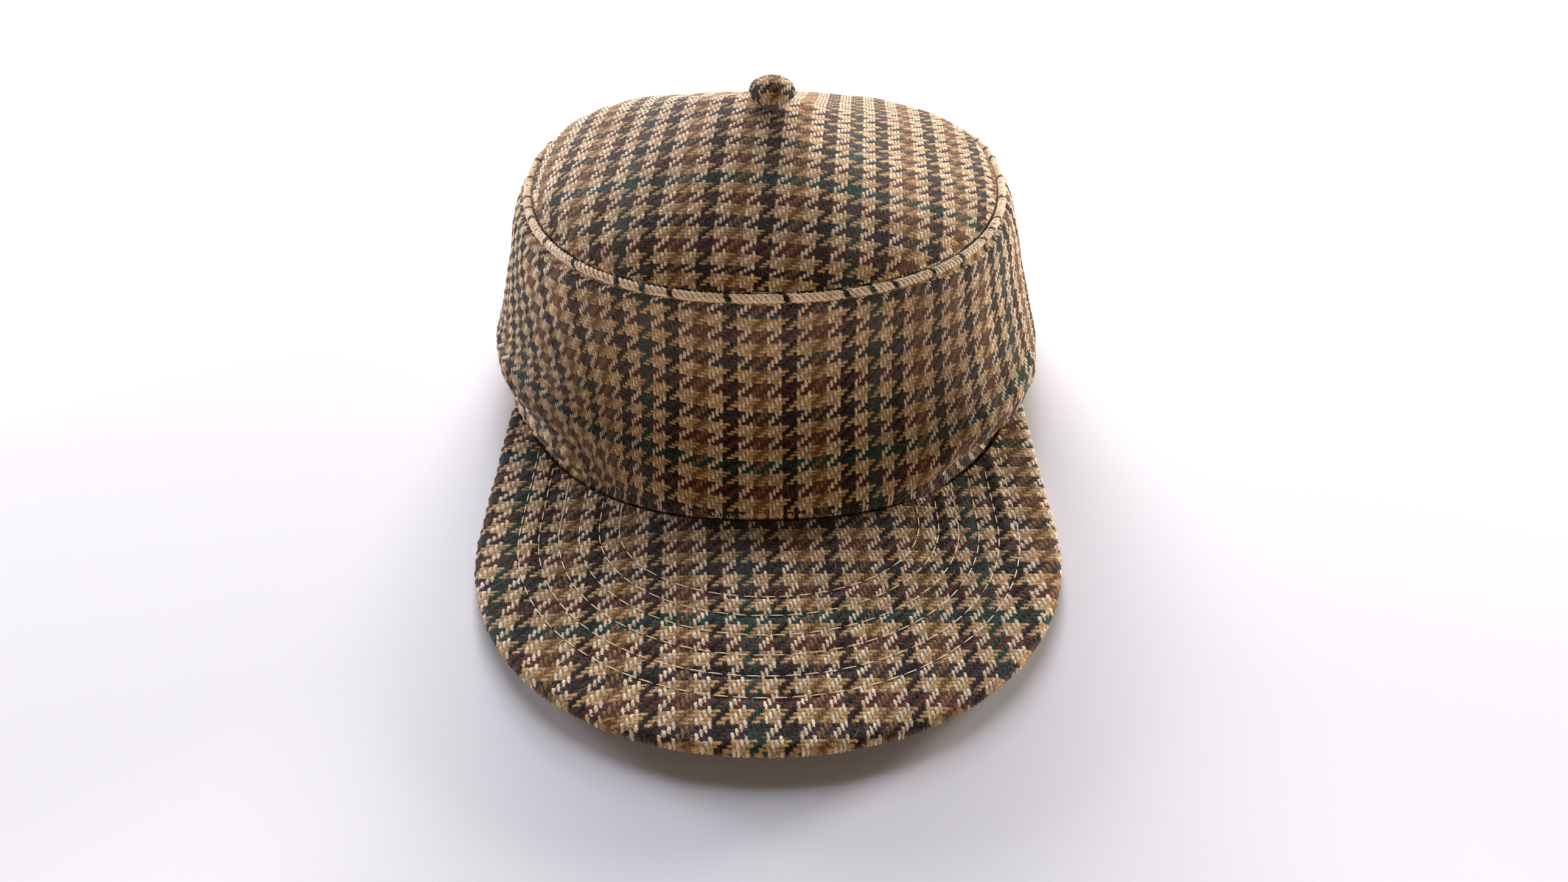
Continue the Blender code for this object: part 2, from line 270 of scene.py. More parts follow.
def in_one_float(edge, first_warp, first_weft):
    """Whether an edge lies across the middle of a float."""
    middle = (edge.verts[0].co + edge.verts[1].co) / 2
    column, row = math.floor(middle.x), math.floor(middle.y)
    if abs(middle.x - round(middle.x)) < 0.1:
        return float_order(first_warp + round(middle.x) - 1, first_weft + row) == 2
    return float_order(first_warp + column, first_weft + round(middle.y) - 1) == 0


def flat_grid(columns, rows, width, length):
    """A flat grid of faces, from the origin to a width and a length."""
    sheet = bmesh.new()
    bmesh.ops.create_grid(sheet, x_segments=columns, y_segments=rows, size=0.5)
    bmesh.ops.translate(sheet, verts=sheet.verts[:], vec=(0.5, 0.5, 0.0))
    bmesh.ops.scale(sheet, verts=sheet.verts[:], vec=(width, length, 1.0))
    return sheet


def laid_cloth(columns, rows, first_warp, first_weft, keep=None, fine_rows=None):
    """A flat sheet with one face to a crossing, in threads. Keep says for arrays of
    warps and wefts which crossings stay. Rows after fine_rows stay plain."""
    sheet = flat_grid(columns, rows, columns, rows)
    if keep is not None:
        middles = np.array([face.calc_center_median() for face in sheet.faces])
        kept = keep(first_warp + middles[:, 0], first_weft + middles[:, 1])
        gone = [face for face, stays in zip(sheet.faces, kept) if not stays]
        bmesh.ops.delete(sheet, geom=gone, context="FACES")
    last = rows if fine_rows is None else fine_rows
    fine = [face for face in sheet.faces if face.calc_center_median().y < last]
    inner = [
        edge
        for edge in sheet.edges
        if not edge.is_boundary
        and (edge.verts[0].co.y + edge.verts[1].co.y) / 2 < last - 0.1
        and in_one_float(edge, first_warp, first_weft)
    ]
    bmesh.ops.poke(sheet, faces=fine)
    bmesh.ops.rotate_edges(sheet, edges=inner, use_ccw=False)
    return sheet


def write_map(sheet, name, place):
    """Write a UV map. Place gives it from a face's middle and one of its corners."""
    layer = sheet.loops.layers.uv.new(name)
    for face in sheet.faces:
        middle = face.calc_center_median()
        for loop in face.loops:
            loop[layer].uv = place(middle, loop.vert.co)


def flat_places(sheet):
    """The column and row of every vertex, while the sheet is still flat."""
    places = np.array([vertex.co for vertex in sheet.verts])
    return places[:, 0], places[:, 1]


def cut_cloth(size, first, keep, share):
    """A sheet cut to its outline, laid over a share of the bake's height. Also the warp
    and weft numbers of its vertices, and whether they are on the edge."""
    sheet = laid_cloth(*size, *first, keep)
    write_map(sheet, THREAD_MAP, lambda _, at: (first[0] + at.x, first[1] + at.y))
    write_map(sheet, BAKE_MAP, lambda _, at: (at.x / size[0], at.y / size[1] * share))
    columns, rows = flat_places(sheet)
    on_edge = np.array([vertex.is_boundary for vertex in sheet.verts])
    return sheet, first[0] + columns, first[1] + rows, on_edge


def relief(warp, weft):
    """How high each vertex stands. Corners of crossings are down, middles are up, and
    the middles of warp floats stand highest."""
    middles = np.abs(warp - np.round(warp)) > 0.25
    order = float_order(np.floor(warp), np.floor(weft))
    return RELIEF * np.where(middles, np.where(order < 2, 1.0, WEFT_RISE), -1.0)


def waves(points, size, height, seed):
    """The slow unevenness of cloth that has been worn: heights at points."""
    start = Vector((seed, 2.3 * seed, 0.0))
    return height * np.array([noise.noise(Vector(point) / size + start) for point in points])


def facing(along_warps, along_wefts):
    """Unit normals from steps to the next warp and to the next weft."""
    normals = np.cross(along_wefts, along_warps)
    lengths = np.linalg.norm(normals, axis=-1, keepdims=True)
    return normals / np.maximum(lengths, 1e-12)


def normals_of(surface, first, second, warp_step, weft_step):
    """Unit normals of a surface at places given by two numbers, of which the first grows
    by a step towards the next warp and the second towards the next weft."""
    to_warp = surface(first + warp_step, second) - surface(first - warp_step, second)
    to_weft = surface(first, second + weft_step) - surface(first, second - weft_step)
    return facing(to_warp, to_weft)


def move_to(sheet, points):
    for vertex, point in zip(sheet.verts, points):
        vertex.co = point


def settle(sheet, old):
    """Put all faces but the old ones last, sorted by their three lowest vertices, because
    some operators make faces in an order that changes from run to run."""
    sheet.verts.index_update()
    sheet.faces.index_update()

    def order(face):
        if face in old:
            return face.index - len(sheet.faces)
        low, middle, high = sorted(vertex.index for vertex in face.verts)[:3]
        return (low * MOST_VERTICES + middle) * MOST_VERTICES + high

    sheet.faces.sort(key=order)


def finished(name, sheet, material):
    """Make an object of a finished mesh, smooth and facing outwards."""
    bmesh.ops.recalc_face_normals(sheet, faces=sheet.faces[:])
    data = bpy.data.meshes.new(name)
    sheet.to_mesh(data)
    sheet.free()
    data.shade_smooth()
    data.materials.append(material)
    piece = bpy.data.objects.new(name, data)
    bpy.context.collection.objects.link(piece)
    triangles = sum(len(face.vertices) - 2 for face in data.polygons)
    print(name, "triangles:", triangles)
    return piece


# %% [markdown]
# Wool yarn is matt and a little hairy. The warp's light threads are cream, the weft's are
# tan, and the coloured ones go green, dark, brown by turns in the warp and green, russet,
# dark in the weft. The material works in threads: the whole part of a place names the
# thread, the rest is the place across it. It finds which thread is on top, looks up that
# thread's colour, and darkens it towards its edges and ends, where the yarn dips into
# shade: this darkening is painted shade.

# %% Colours and the helper that adds a node


def linear(hex_colour):
    """An sRGB hex colour as linear red, green, blue and alpha."""
    parts = [int(hex_colour[i : i + 2], 16) / 255 for i in (1, 3, 5)]
    parts = [p / 12.92 if p <= 0.04045 else ((p + 0.055) / 1.055) ** 2.4 for p in parts]
    return (*parts, 1.0)


CREAM, TAN = "#F8E1C2", "#D0A672"
DARK, SLATE, GREEN = "#150E10", "#30262A", "#0E423B"
BROWN, RUSSET = "#8D6740", "#5C2F21"
NAP = "#8C7460"
WARP_COLOURS = (GREEN, DARK, BROWN, DARK, BROWN, DARK, BROWN, DARK)
WEFT_COLOURS = (GREEN, RUSSET, SLATE, RUSSET, SLATE, RUSSET, SLATE, RUSSET)


def add(tree, kind, inputs=None, **settings):
    """Add one node. Inputs are values, or nodes and sockets to link from."""
    made = tree.nodes.new("ShaderNode" + kind)
    for name, value in settings.items():
        setattr(made, name, value)
    for key, value in (inputs or {}).items():
        if isinstance(value, bpy.types.Node):
            value = value.outputs[0]
        if isinstance(value, bpy.types.NodeSocket):
            tree.links.new(value, made.inputs[key])
        else:
            made.inputs[key].default_value = value
    return made


def fill_ramp(ramp, stops):
    """Give a colour ramp its stops: pairs of a place and a colour."""
    while len(ramp.elements) < len(stops):
        ramp.elements.new(1.0)
    for element, (place, colour) in zip(ramp.elements, stops):
        element.position = place
        element.color = colour


def thread_colours(tree, thread, coloured, light, first=0.0, width=4.0):
    """The colour of each thread: some coloured and some light ones by turns, in eights.
    First is where the coloured ones begin and width how many there are."""
    inputs = {0: thread, 1: 1 / 64, 2: -first / 64}
    share = add(tree, "Math", inputs, operation="MULTIPLY_ADD")
    share = add(tree, "Math", {0: share}, operation="FRACT")
    chosen = add(tree, "ValToRGB", {"Fac": share})
    chosen.color_ramp.interpolation = "CONSTANT"
    stops = []
    for index, colour in enumerate(coloured):
        stops.append((index / 8, linear(colour)))
        stops.append(((index + width / 8) / 8, linear(light)))
    fill_ramp(chosen.color_ramp, stops)
    return chosen


# %% Tweed
YARNS = (
    # colours, light colour, half a float's length in threads, its width in threads,
    # lean, fineness of its fibres, start of its floats
    (WARP_COLOURS, CREAM, 1.24, 1.03, 0.30, 5.6, 1.0),
    (WEFT_COLOURS, TAN, 1.20, 1.00, 0.00, 6.2, -1.0),
)
FIBRE_LIFT = 0.8


def bare_material(name):
    """A new material and its node tree, which is empty."""
    made = bpy.data.materials.new(name)
    made.use_nodes = True
    made.node_tree.nodes.clear()
    return made, made.node_tree


def shifted(tree, place, spot, scale, detail, amount):
    """A place moved either way by a noise at spot, by about a fifth of the amount."""
    push = add(tree, "TexNoise", {"Vector": spot, "Scale": scale, "Detail": detail}).outputs[1]
    inputs = {0: push, 1: (amount,) * 3, 2: (-amount / 2,) * 3}
    push = add(tree, "VectorMath", inputs, operation="MULTIPLY_ADD")
    return add(tree, "VectorMath", {0: place, 1: push}, operation="ADD")


def stray_fibres(tree, place, scale, seed):
    """1 along thin curls where a noise passes its middle, 0 elsewhere."""
    spot = add(tree, "VectorMath", {0: place, 1: (seed,) * 3}, operation="ADD")
    curls = add(tree, "TexNoise", {"Vector": spot, "Scale": scale, "Detail": 1.5})
    near = add(tree, "Math", {0: curls, 1: 0.5}, operation="SUBTRACT")
    near = add(tree, "Math", {0: near}, operation="ABSOLUTE")
    inputs = {"Value": near, "From Min": 0.004, "From Max": 0.016, "To Min": 1.0, "To Max": 0.0}
    return add(tree, "MapRange", inputs, interpolation_type="SMOOTHSTEP")


def yarn(tree, place, axis, seed):
    """The warps (axis 0) or the wefts (1) at a place: their colour, how high they stand,
    their fibres, and a spot of its own for each float."""
    colours, light, length, width, lean, finer, start = YARNS[axis]
    across, along = place[axis], place[1 - axis]
    number = add(tree, "Math", {0: across}, operation="FLOOR")
    colour = thread_colours(tree, number, colours, light, first=-0.5)

    # How far the place is from the middle of its float, along the yarn and across it.
    # A float comes every four threads, a step further along on each yarn.
    down = add(tree, "Math", {0: number, 1: along}, operation="ADD")
    down = add(tree, "Math", {0: down, 1: start}, operation="ADD")
    down = add(tree, "Math", {0: down, 1: 2.0, 2: -2.0}, operation="WRAP")
    side = add(tree, "Math", {0: across}, operation="FRACT")
    side = add(tree, "Math", {0: side, 1: 2.0, 2: -1.0}, operation="MULTIPLY_ADD")
    side = add(tree, "Math", {0: down, 1: -lean, 2: side}, operation="MULTIPLY_ADD")

    # Fibres: noise drawn out along the yarn, slanted as its twist slants them
    run = add(tree, "Math", {0: along, 1: 1.1}, operation="MULTIPLY")
    run = add(tree, "Math", {0: across, 1: finer, 2: run}, operation="MULTIPLY_ADD")
    spot = add(tree, "CombineXYZ", {0: run, 1: along, 2: seed + 40.0 * axis})
    fibres = add(tree, "TexNoise", {"Vector": spot, "Scale": 1.0, "Detail": 2.0})
    fibres = add(tree, "MapRange", {"Value": fibres, "From Min": 0.3, "From Max": 0.7})

    # Each float is a plump grain: its height falls off along it and across it
    ends = add(tree, "Math", {0: down}, operation="ABSOLUTE")
    ends = add(tree, "Math", {0: ends, 1: length}, operation="DIVIDE")
    ends = add(tree, "Math", {0: ends, 1: 3.0}, operation="POWER")
    fall = add(tree, "Math", {0: side, 1: width}, operation="DIVIDE")
    fall = add(tree, "Math", {0: fall, 1: fall, 2: ends}, operation="MULTIPLY_ADD")
    inputs = {0: fibres, 1: FIBRE_LIFT, 2: 1 - FIBRE_LIFT / 2}
    height = add(tree, "Math", inputs, operation="MULTIPLY_ADD")
    height = add(tree, "Math", {0: height, 1: fall}, operation="SUBTRACT")

    middle = add(tree, "Math", {0: along, 1: down}, operation="SUBTRACT")
    middle = add(tree, "Math", {0: middle}, operation="ROUND")
    own = add(tree, "CombineXYZ", {axis: number, 1 - axis: middle, 2: seed + 50.0 * axis})
    return colour, height, fibres, own


def tweed(name, seed):
    """Woven wool. Seed shifts the unevenness, so that no two pieces match."""
    made, tree = bare_material(name)
    flat = add(tree, "UVMap", uv_map=THREAD_MAP)

    # The yarn wanders a little, and its edges are ragged with fibres
    place = shifted(tree, flat, flat, scale=0.35, detail=1.0, amount=0.5)
    place = shifted(tree, place, flat, scale=3.2, detail=3.0, amount=1.0)
    place = add(tree, "SeparateXYZ", {0: place}).outputs
    warps, wefts = (yarn(tree, place, axis, seed) for axis in (0, 1))

    # The higher of the two yarns shows. Light yarn gives way to dark, and here and there
    # fibres of one are caught over the other.
    warp_light, weft_light = (add(tree, "RGBToBW", {0: each[0]}) for each in (warps, wefts))
    lighter = add(tree, "Math", {0: warp_light, 1: weft_light}, operation="SUBTRACT")
    caught = add(tree, "TexNoise", {"Vector": flat, "Scale": 2.1, "Detail": 3.0})
    caught = add(tree, "MapRange", {"Value": caught, "To Min": -0.9, "To Max": 0.9})
    lead = add(tree, "Math", {0: wefts[1], 1: warps[1]}, operation="SUBTRACT")
    lead = add(tree, "Math", {0: lighter, 1: 0.7, 2: lead}, operation="MULTIPLY_ADD")
    lead = add(tree, "Math", {0: lead, 1: caught}, operation="ADD")
    weft_shows = add(tree, "MapRange", {"Value": lead, "From Min": -0.15, "From Max": 0.15})
    weft_on_top = add(tree, "Math", {0: lead, 1: 0.0}, operation="GREATER_THAN")
    both = {6: warps[0], 7: wefts[0]}
    upper = add(tree, "Mix", {0: weft_shows, **both}, data_type="RGBA")
    darker = add(tree, "Mix", {0: 1.0, **both}, data_type="RGBA", blend_type="DARKEN")
    crown = add(tree, "Math", {0: warps[1], 1: wefts[1]}, operation="MAXIMUM")

    # In the gaps between the floats the darker of the two is seen: partly the yarn below, partly
    # painted shade in the gap
    low = add(tree, "Math", {0: crown, 1: caught}, operation="SUBTRACT")
    inputs = {"Value": low, "From Min": 0.0, "From Max": 0.42, "To Min": 0.9, "To Max": 0.0}
    shaded_gap = add(tree, "MapRange", inputs, interpolation_type="SMOOTHSTEP")
    inputs = {0: shaded_gap, 6: upper.outputs[2], 7: darker.outputs[2]}
    colour = add(tree, "Mix", inputs, data_type="RGBA")

    # Painted shade and highlight: brighter along the yarn's crown, darker where it dips between
    # its neighbours; every float lies a little differently, and the cloth is worn in patches
    fibres = add(tree, "Mix", {0: weft_on_top, 2: warps[2], 3: wefts[2]}, data_type="FLOAT")
    own = add(tree, "Mix", {0: weft_on_top, 4: warps[3], 5: wefts[3]}, data_type="VECTOR")
    spun = add(tree, "TexWhiteNoise", {0: own.outputs[1]})
    worn = add(tree, "TexNoise", {"Vector": flat, "Scale": 0.06, "Detail": 2.0})
    # Painted shade: the crown's height darkens the colour in the dips and lifts it on top
    inputs = {"Value": crown, "From Min": -0.2, "From Max": 0.8, "To Min": 0.46, "To Max": 1.08}
    value = add(tree, "MapRange", inputs)
    for source, span, least in ((fibres, 0.8, 0.66), (spun, 0.34, 0.85), (worn, 0.6, 0.7)):
        share = add(tree, "Math", {0: source, 1: span, 2: least}, operation="MULTIPLY_ADD")
        value = add(tree, "Math", {0: value, 1: share}, operation="MULTIPLY")
    colour = add(tree, "HueSaturation", {"Color": colour.outputs[2], "Value": value})

    # The nap: a thin haze of loose fibres, and single ones that curl over the threads
    curls = {0: stray_fibres(tree, flat, 0.42, seed), 1: stray_fibres(tree, flat, 0.9, seed + 9.0)}
    curls = add(tree, "Math", curls, operation="MAXIMUM")
    haze = add(tree, "Math", {0: curls, 1: 0.32, 2: 0.02}, operation="MULTIPLY_ADD")
    colour = add(tree, "Mix", {0: haze, 6: colour, 7: linear(NAP)}, data_type="RGBA")

    # Height: a round yarn with fibres on it
    height = add(tree, "Math", {0: fibres, 1: 0.3, 2: crown}, operation="MULTIPLY_ADD")
    height = add(tree, "Math", {0: curls, 1: 0.25, 2: height}, operation="MULTIPLY_ADD")
    wool = {
        "Base Color": colour.outputs[2],
        "Normal": add(tree, "Bump", {"Height": height, "Strength": 0.8, "Distance": 0.0004}),
        "Roughness": 0.95,
        "Specular IOR Level": 0.12,
        "Sheen Weight": 0.5,
        "Sheen Roughness": 0.28,
        "Sheen Tint": linear("#ECE6E2"),
    }
    add(tree, "OutputMaterial", {0: add(tree, "BsdfPrincipled", wool)})
    return made


band_tweed = tweed("band wool tweed", seed=1.0)
top_tweed = tweed("top wool tweed", seed=5.0)
visor_tweed = tweed("visor wool tweed", seed=13.0)
button_tweed = tweed("button wool tweed", seed=17.0)

# %% [markdown]
# The band is one strip of cloth round the head. Its warps stand nearly upright in front
# and lean forward down the left side, and its wefts run level, so the seam and the foot
# cut across some of them. Tables say how far along the band the warps lie at each height,
# and how far below the seam the green weft lies. Everything else is counted from those in
# threads. 512 warps is eight repeats of the pattern, so it meets itself at the back.

# %% Where the threads of the band lie
BAND_WARPS, FRONT_WARP = 512, 36
BACK_WARP = FRONT_WARP - BAND_WARPS // 2
FIRST_WEFT, LAST_WEFT, GREEN_WEFT = 7, 99, 66
THREAD = 0.00109
INSIDE_ROWS, INSIDE_WEFTS = 8, 9
WALL_LEVELS, WALL_TURNS = 90, 1440

# The green warps at the sides, counted from the front one, and their distances from the
# front along the band
LEFT_GREEN, RIGHT_GREEN = -98, 94
SIDE_WARPS = (
    # share of the height, left, right
    (0.00, -0.0780, 0.0960),
    (0.25, -0.0830, 0.0955),
    (0.40, -0.0890, 0.0948),
    (0.56, -0.0963, 0.0935),
    (0.79, -0.1079, 0.0925),
    (1.00, -0.1105, 0.0920),
)
# The green warps nearer the front, in the same way
FRONT_WARPS = ((-34, -0.0370), (0, 0.0), (30, 0.0327))
# Distance below the seam of the green weft, and how closely the wefts above it lie
LEVEL_WEFTS = (
    # warp, distance, closeness
    (-220.0, 0.0400, 1.00),
    (-150.0, 0.0470, 0.98),
    (-98.0, 0.0590, 0.97),
    (-80.0, 0.0594, 0.97),
    (-62.0, 0.0577, 0.96),
    (-50.0, 0.0564, 0.96),
    (-40.0, 0.0552, 0.96),
    (-30.0, 0.0540, 0.95),
    (-22.0, 0.0524, 0.95),
    (-8.0, 0.0502, 0.95),
    (0.0, 0.0501, 0.96),
    (8.0, 0.0513, 0.98),
    (20.0, 0.0533, 1.00),
    (36.0, 0.0547, 1.00),
    (60.0, 0.0525, 1.00),
    (80.0, 0.0521, 0.97),
    (100.0, 0.0514, 0.92),
    (120.0, 0.0505, 0.89),
    (150.0, 0.0485, 0.89),
    (200.0, 0.0440, 0.95),
    (292.0, 0.0400, 1.00),
)
# Distance of each weft below the green one, in front
WEFT_PLACES = (
    (2.0, -0.0674),
    (10.0, -0.0587),
    (18.0, -0.0500),
    (26.0, -0.0412),
    (34.0, -0.0322),
    (42.0, -0.0235),
    (50.0, -0.0146),
    (58.0, -0.0074),
    (66.0, 0.0000),
    (74.0, 0.0076),
    (82.0, 0.0160),
    (90.0, 0.0247),
    (106.0, 0.0421),
)


def lengths_along(points):
    """Distance from the first point along a line of points, down the first axis."""
    steps = np.linalg.norm(np.diff(points, axis=0), axis=-1)
    return np.concatenate((np.zeros_like(steps[:1]), np.cumsum(steps, axis=0)))


def band_turns(share, warps):
    """The turn of each warp at one height of the band."""
    turns = np.linspace(-math.pi, math.pi, WALL_TURNS + 1)
    along = lengths_along(band_face(turns, share))
    along = along - along[WALL_TURNS // 2]
    left, right = section(SIDE_WARPS, np.array(share))
    half = BAND_WARPS // 2
    rows = (
        (-2 * half - LEFT_GREEN, 2 * along[0] - left),
        (-half, along[0]),
        (LEFT_GREEN, left),
        *FRONT_WARPS,
        (RIGHT_GREEN, right),
        (half, along[-1]),
        (2 * half - RIGHT_GREEN, 2 * along[-1] - right),
    )
    return np.interp(section(rows, warps - FRONT_WARP)[0], along, turns)


# %% The band's points, at half threads


def grid_steps(points):
    """Steps to the next row and the next column of a grid whose columns go all round."""
    down, across = np.gradient(points, axis=0), np.gradient(points, axis=1)
    across[:, 0] = across[:, -1] = points[:, 1] - points[:, -2]
    return down, across


warps = np.arange(-BAND_WARPS, BAND_WARPS + 1) / 2 + FRONT_WARP
shares = np.linspace(1 - SHOULDER_DROP / BAND_HEIGHT, 0.0, WALL_LEVELS)
turn_grid = np.array([band_turns(share, warps) for share in shares])
wall = band_face(turn_grid, shares[:, None])
under = seam_line(turn_grid[0], UNDER_INSET, -UNDER_DROP)[None]
tucked = seam_line(turn_grid[0], TUCK, -GAP / 2)[None]
outside = np.concatenate((tucked, under, wall))
level_steps, warp_steps = grid_steps(outside)
inside = outside - facing(warp_steps, level_steps) * CLOTH
inside[-1, :, 2] = 0.0
inside[0] = tucked[0]
section_line = np.concatenate((outside, inside[::-1]))
along_section = lengths_along(section_line)
along_section = along_section - (along_section[2] - SHOULDER_DROP)
print("band, from seam to foot, mm:", np.round(1000 * along_section[1 + WALL_LEVELS, ::256], 1))

wefts = np.arange(2 * FIRST_WEFT, 2 * LAST_WEFT + 1) / 2
below_green = section(WEFT_PLACES, wefts)[0][:, None]
green, closeness = section(LEVEL_WEFTS, warps)
row_places = green + below_green * np.where(below_green < 0, closeness, 1.0)
# The first wefts spread over the part that is tucked in under the seam
tuck_end, most_spread = UNDER_DROP, 3.0
spread = (tuck_end - along_section[0]) / np.maximum(tuck_end - row_places[0], 1e-6)
spread_places = tuck_end + (row_places - tuck_end) * np.minimum(spread, most_spread)
row_places = np.where(row_places < tuck_end, spread_places, row_places)
rest = np.linspace(0.0, 1.0, 2 * INSIDE_ROWS + 1)[1:, None]
row_places = np.concatenate((row_places, blend(row_places[-1], along_section[-1], rest)))
band_points = np.empty((*row_places.shape, 3))
for column in range(row_places.shape[1]):
    places, known = row_places[:, column], along_section[:, column]
    for axis in range(3):
        band_points[:, column, axis] = np.interp(places, known, section_line[:, column, axis])

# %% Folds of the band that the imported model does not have
# Two run forward along the foot: how strong each is, and how many wefts below the green
# one its ridge lies
FOLDS_OVER = (
    # warp, strength, wefts below
    (-110.0, 0.0, 2.0),
    (-80.0, 0.8, 2.0),
    (-50.0, 1.0, 1.0),
    (-15.0, 0.8, 3.0),
    (15.0, 0.0, 5.0),
    (65.0, 0.0, 12.0),
    (87.0, 0.8, 10.0),
    (99.0, 1.0, 5.0),
    (125.0, 1.0, 3.5),
    (160.0, 0.0, 3.0),
)
RIDGE, RIDGE_SPREAD = 0.0014, 3.5
HOLLOW, HOLLOW_SPREAD, HOLLOW_BELOW = 0.0038, 7, 13
PINCH, PINCH_HEIGHT, PINCH_SPREAD = 0.0016, 0.0062, 0.003
PINCH_END, PINCH_FADE = 0.010, 0.025
LINING_SPREAD = 0.016


def hump(off, spread):
    """1 where off is 0, falling softly to 0 on both sides."""
    return np.exp(-((off / spread) ** 2))


def fold_over(warp, weft):
    """How far the folds push the cloth out at their ridges and let it in below them."""
    strength, below = section(FOLDS_OVER, warp)
    off = weft - GREEN_WEFT - below
    hollow = HOLLOW * hump(off - HOLLOW_BELOW, HOLLOW_SPREAD)
    return strength * (RIDGE * hump(off, RIDGE_SPREAD) - hollow)


def pinched(points, spread):
    """How far the cloth is drawn in where the visor is sewn under it."""
    front = np.clip((PINCH_END - points[:, 1]) / PINCH_FADE, 0.0, 1.0)
    return front * PINCH * hump(points[:, 2] - PINCH_HEIGHT, spread)


def lining_push(warp, points):
    """How far the inside gives way behind the hollows and where the visor is sewn on."""
    behind = HOLLOW * hump(points[:, 2] - PINCH_HEIGHT, LINING_SPREAD)
    return behind * section(FOLDS_OVER, warp)[0] + pinched(points, LINING_SPREAD)


# %% Weave the band


def band_weft(row):
    """The weft number at a row. Each row inside the crown stands for several wefts."""
    fine = LAST_WEFT - FIRST_WEFT
    return FIRST_WEFT + min(row, fine) + max(row - fine, 0.0) * INSIDE_WEFTS


def in_strips(count, columns, rows, margin):
    """Places in the bake for a long sheet that is cut into strips, one above another."""
    strip = columns / count

    def place(middle, at):
        which = min(int(middle.x / strip), count - 1)
        across = (at.x - which * strip + 1.0) / (strip + 2.0)
        return across, (which + (at.y + margin) / (rows + 2 * margin)) / count

    return place


def weave_band():
    fine = LAST_WEFT - FIRST_WEFT
    rows = fine + INSIDE_ROWS
    sheet = laid_cloth(BAND_WARPS, rows, BACK_WARP, FIRST_WEFT, fine_rows=fine)
    write_map(sheet, THREAD_MAP, lambda _, at: (BACK_WARP + at.x, band_weft(at.y)))
    write_map(sheet, BAKE_MAP, in_strips(2, BAND_WARPS, rows, 1.0))
    columns, heights = flat_places(sheet)
    warp, weft = BACK_WARP + columns, FIRST_WEFT + heights
    half_threads = np.round(2 * heights).astype(int), np.round(2 * columns).astype(int)
    base = band_points[half_threads]
    steps_down, steps_round = grid_steps(band_points)
    normals = facing(steps_round, steps_down)[half_threads]

    # The relief is flatter where the wefts are squeezed, and ends at the sewn edge
    apart = 2 * np.linalg.norm(steps_down, axis=-1)[half_threads]
    height = relief(warp, weft) * np.clip(apart / THREAD, 0.0, 1.0)
    height = np.where(heights < 0.25, 0.0, height)
    fade = np.clip(np.minimum(heights / 6, (fine - heights) / 25), 0.0, 1.0)
    height = height + fade * waves(base, size=0.011, height=0.0005, seed=3.0)

    # The folds push it in and out, though not where it stands on the ground, and the
    # lining gives way behind them
    above_foot = np.clip(base[:, 2] / FOOT, 0.0, 1.0)
    shove = fold_over(warp, weft) - pinched(base, PINCH_SPREAD)
    height = height + np.where(shove < 0, shove * above_foot, shove)
    height = np.where(heights > fine - 0.25, 0.0, height)
    lining = heights > fine + 0.25
    height = np.where(lining, above_foot * lining_push(warp, base), height)
    points = base + normals * height[:, None]
    points[:, 2] = np.maximum(points[:, 2], 0.0)
    move_to(sheet, points)
    bmesh.ops.remove_doubles(sheet, verts=sheet.verts[:], dist=SAME_PLACE)
    return finished("band_cloth", sheet, band_tweed)


band = weave_band()
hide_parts("crown_band")
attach(band, "root")

# %% [markdown]
# The rolled seam is the band's own cloth turned over the joint and pulled tight, so that
# its yarns lie nearly along the seam like the strands of a cord. The light yarns cover
# it, and a dark one shows for a millimetre or two wherever a dark warp of the band ends.
# It is a tube whose radius rises and falls with the strands.

# %% Wool of the rolled seam
WELT_WRAP = 7.0
STRANDS, STRAND_LEAN = 4, 0.6


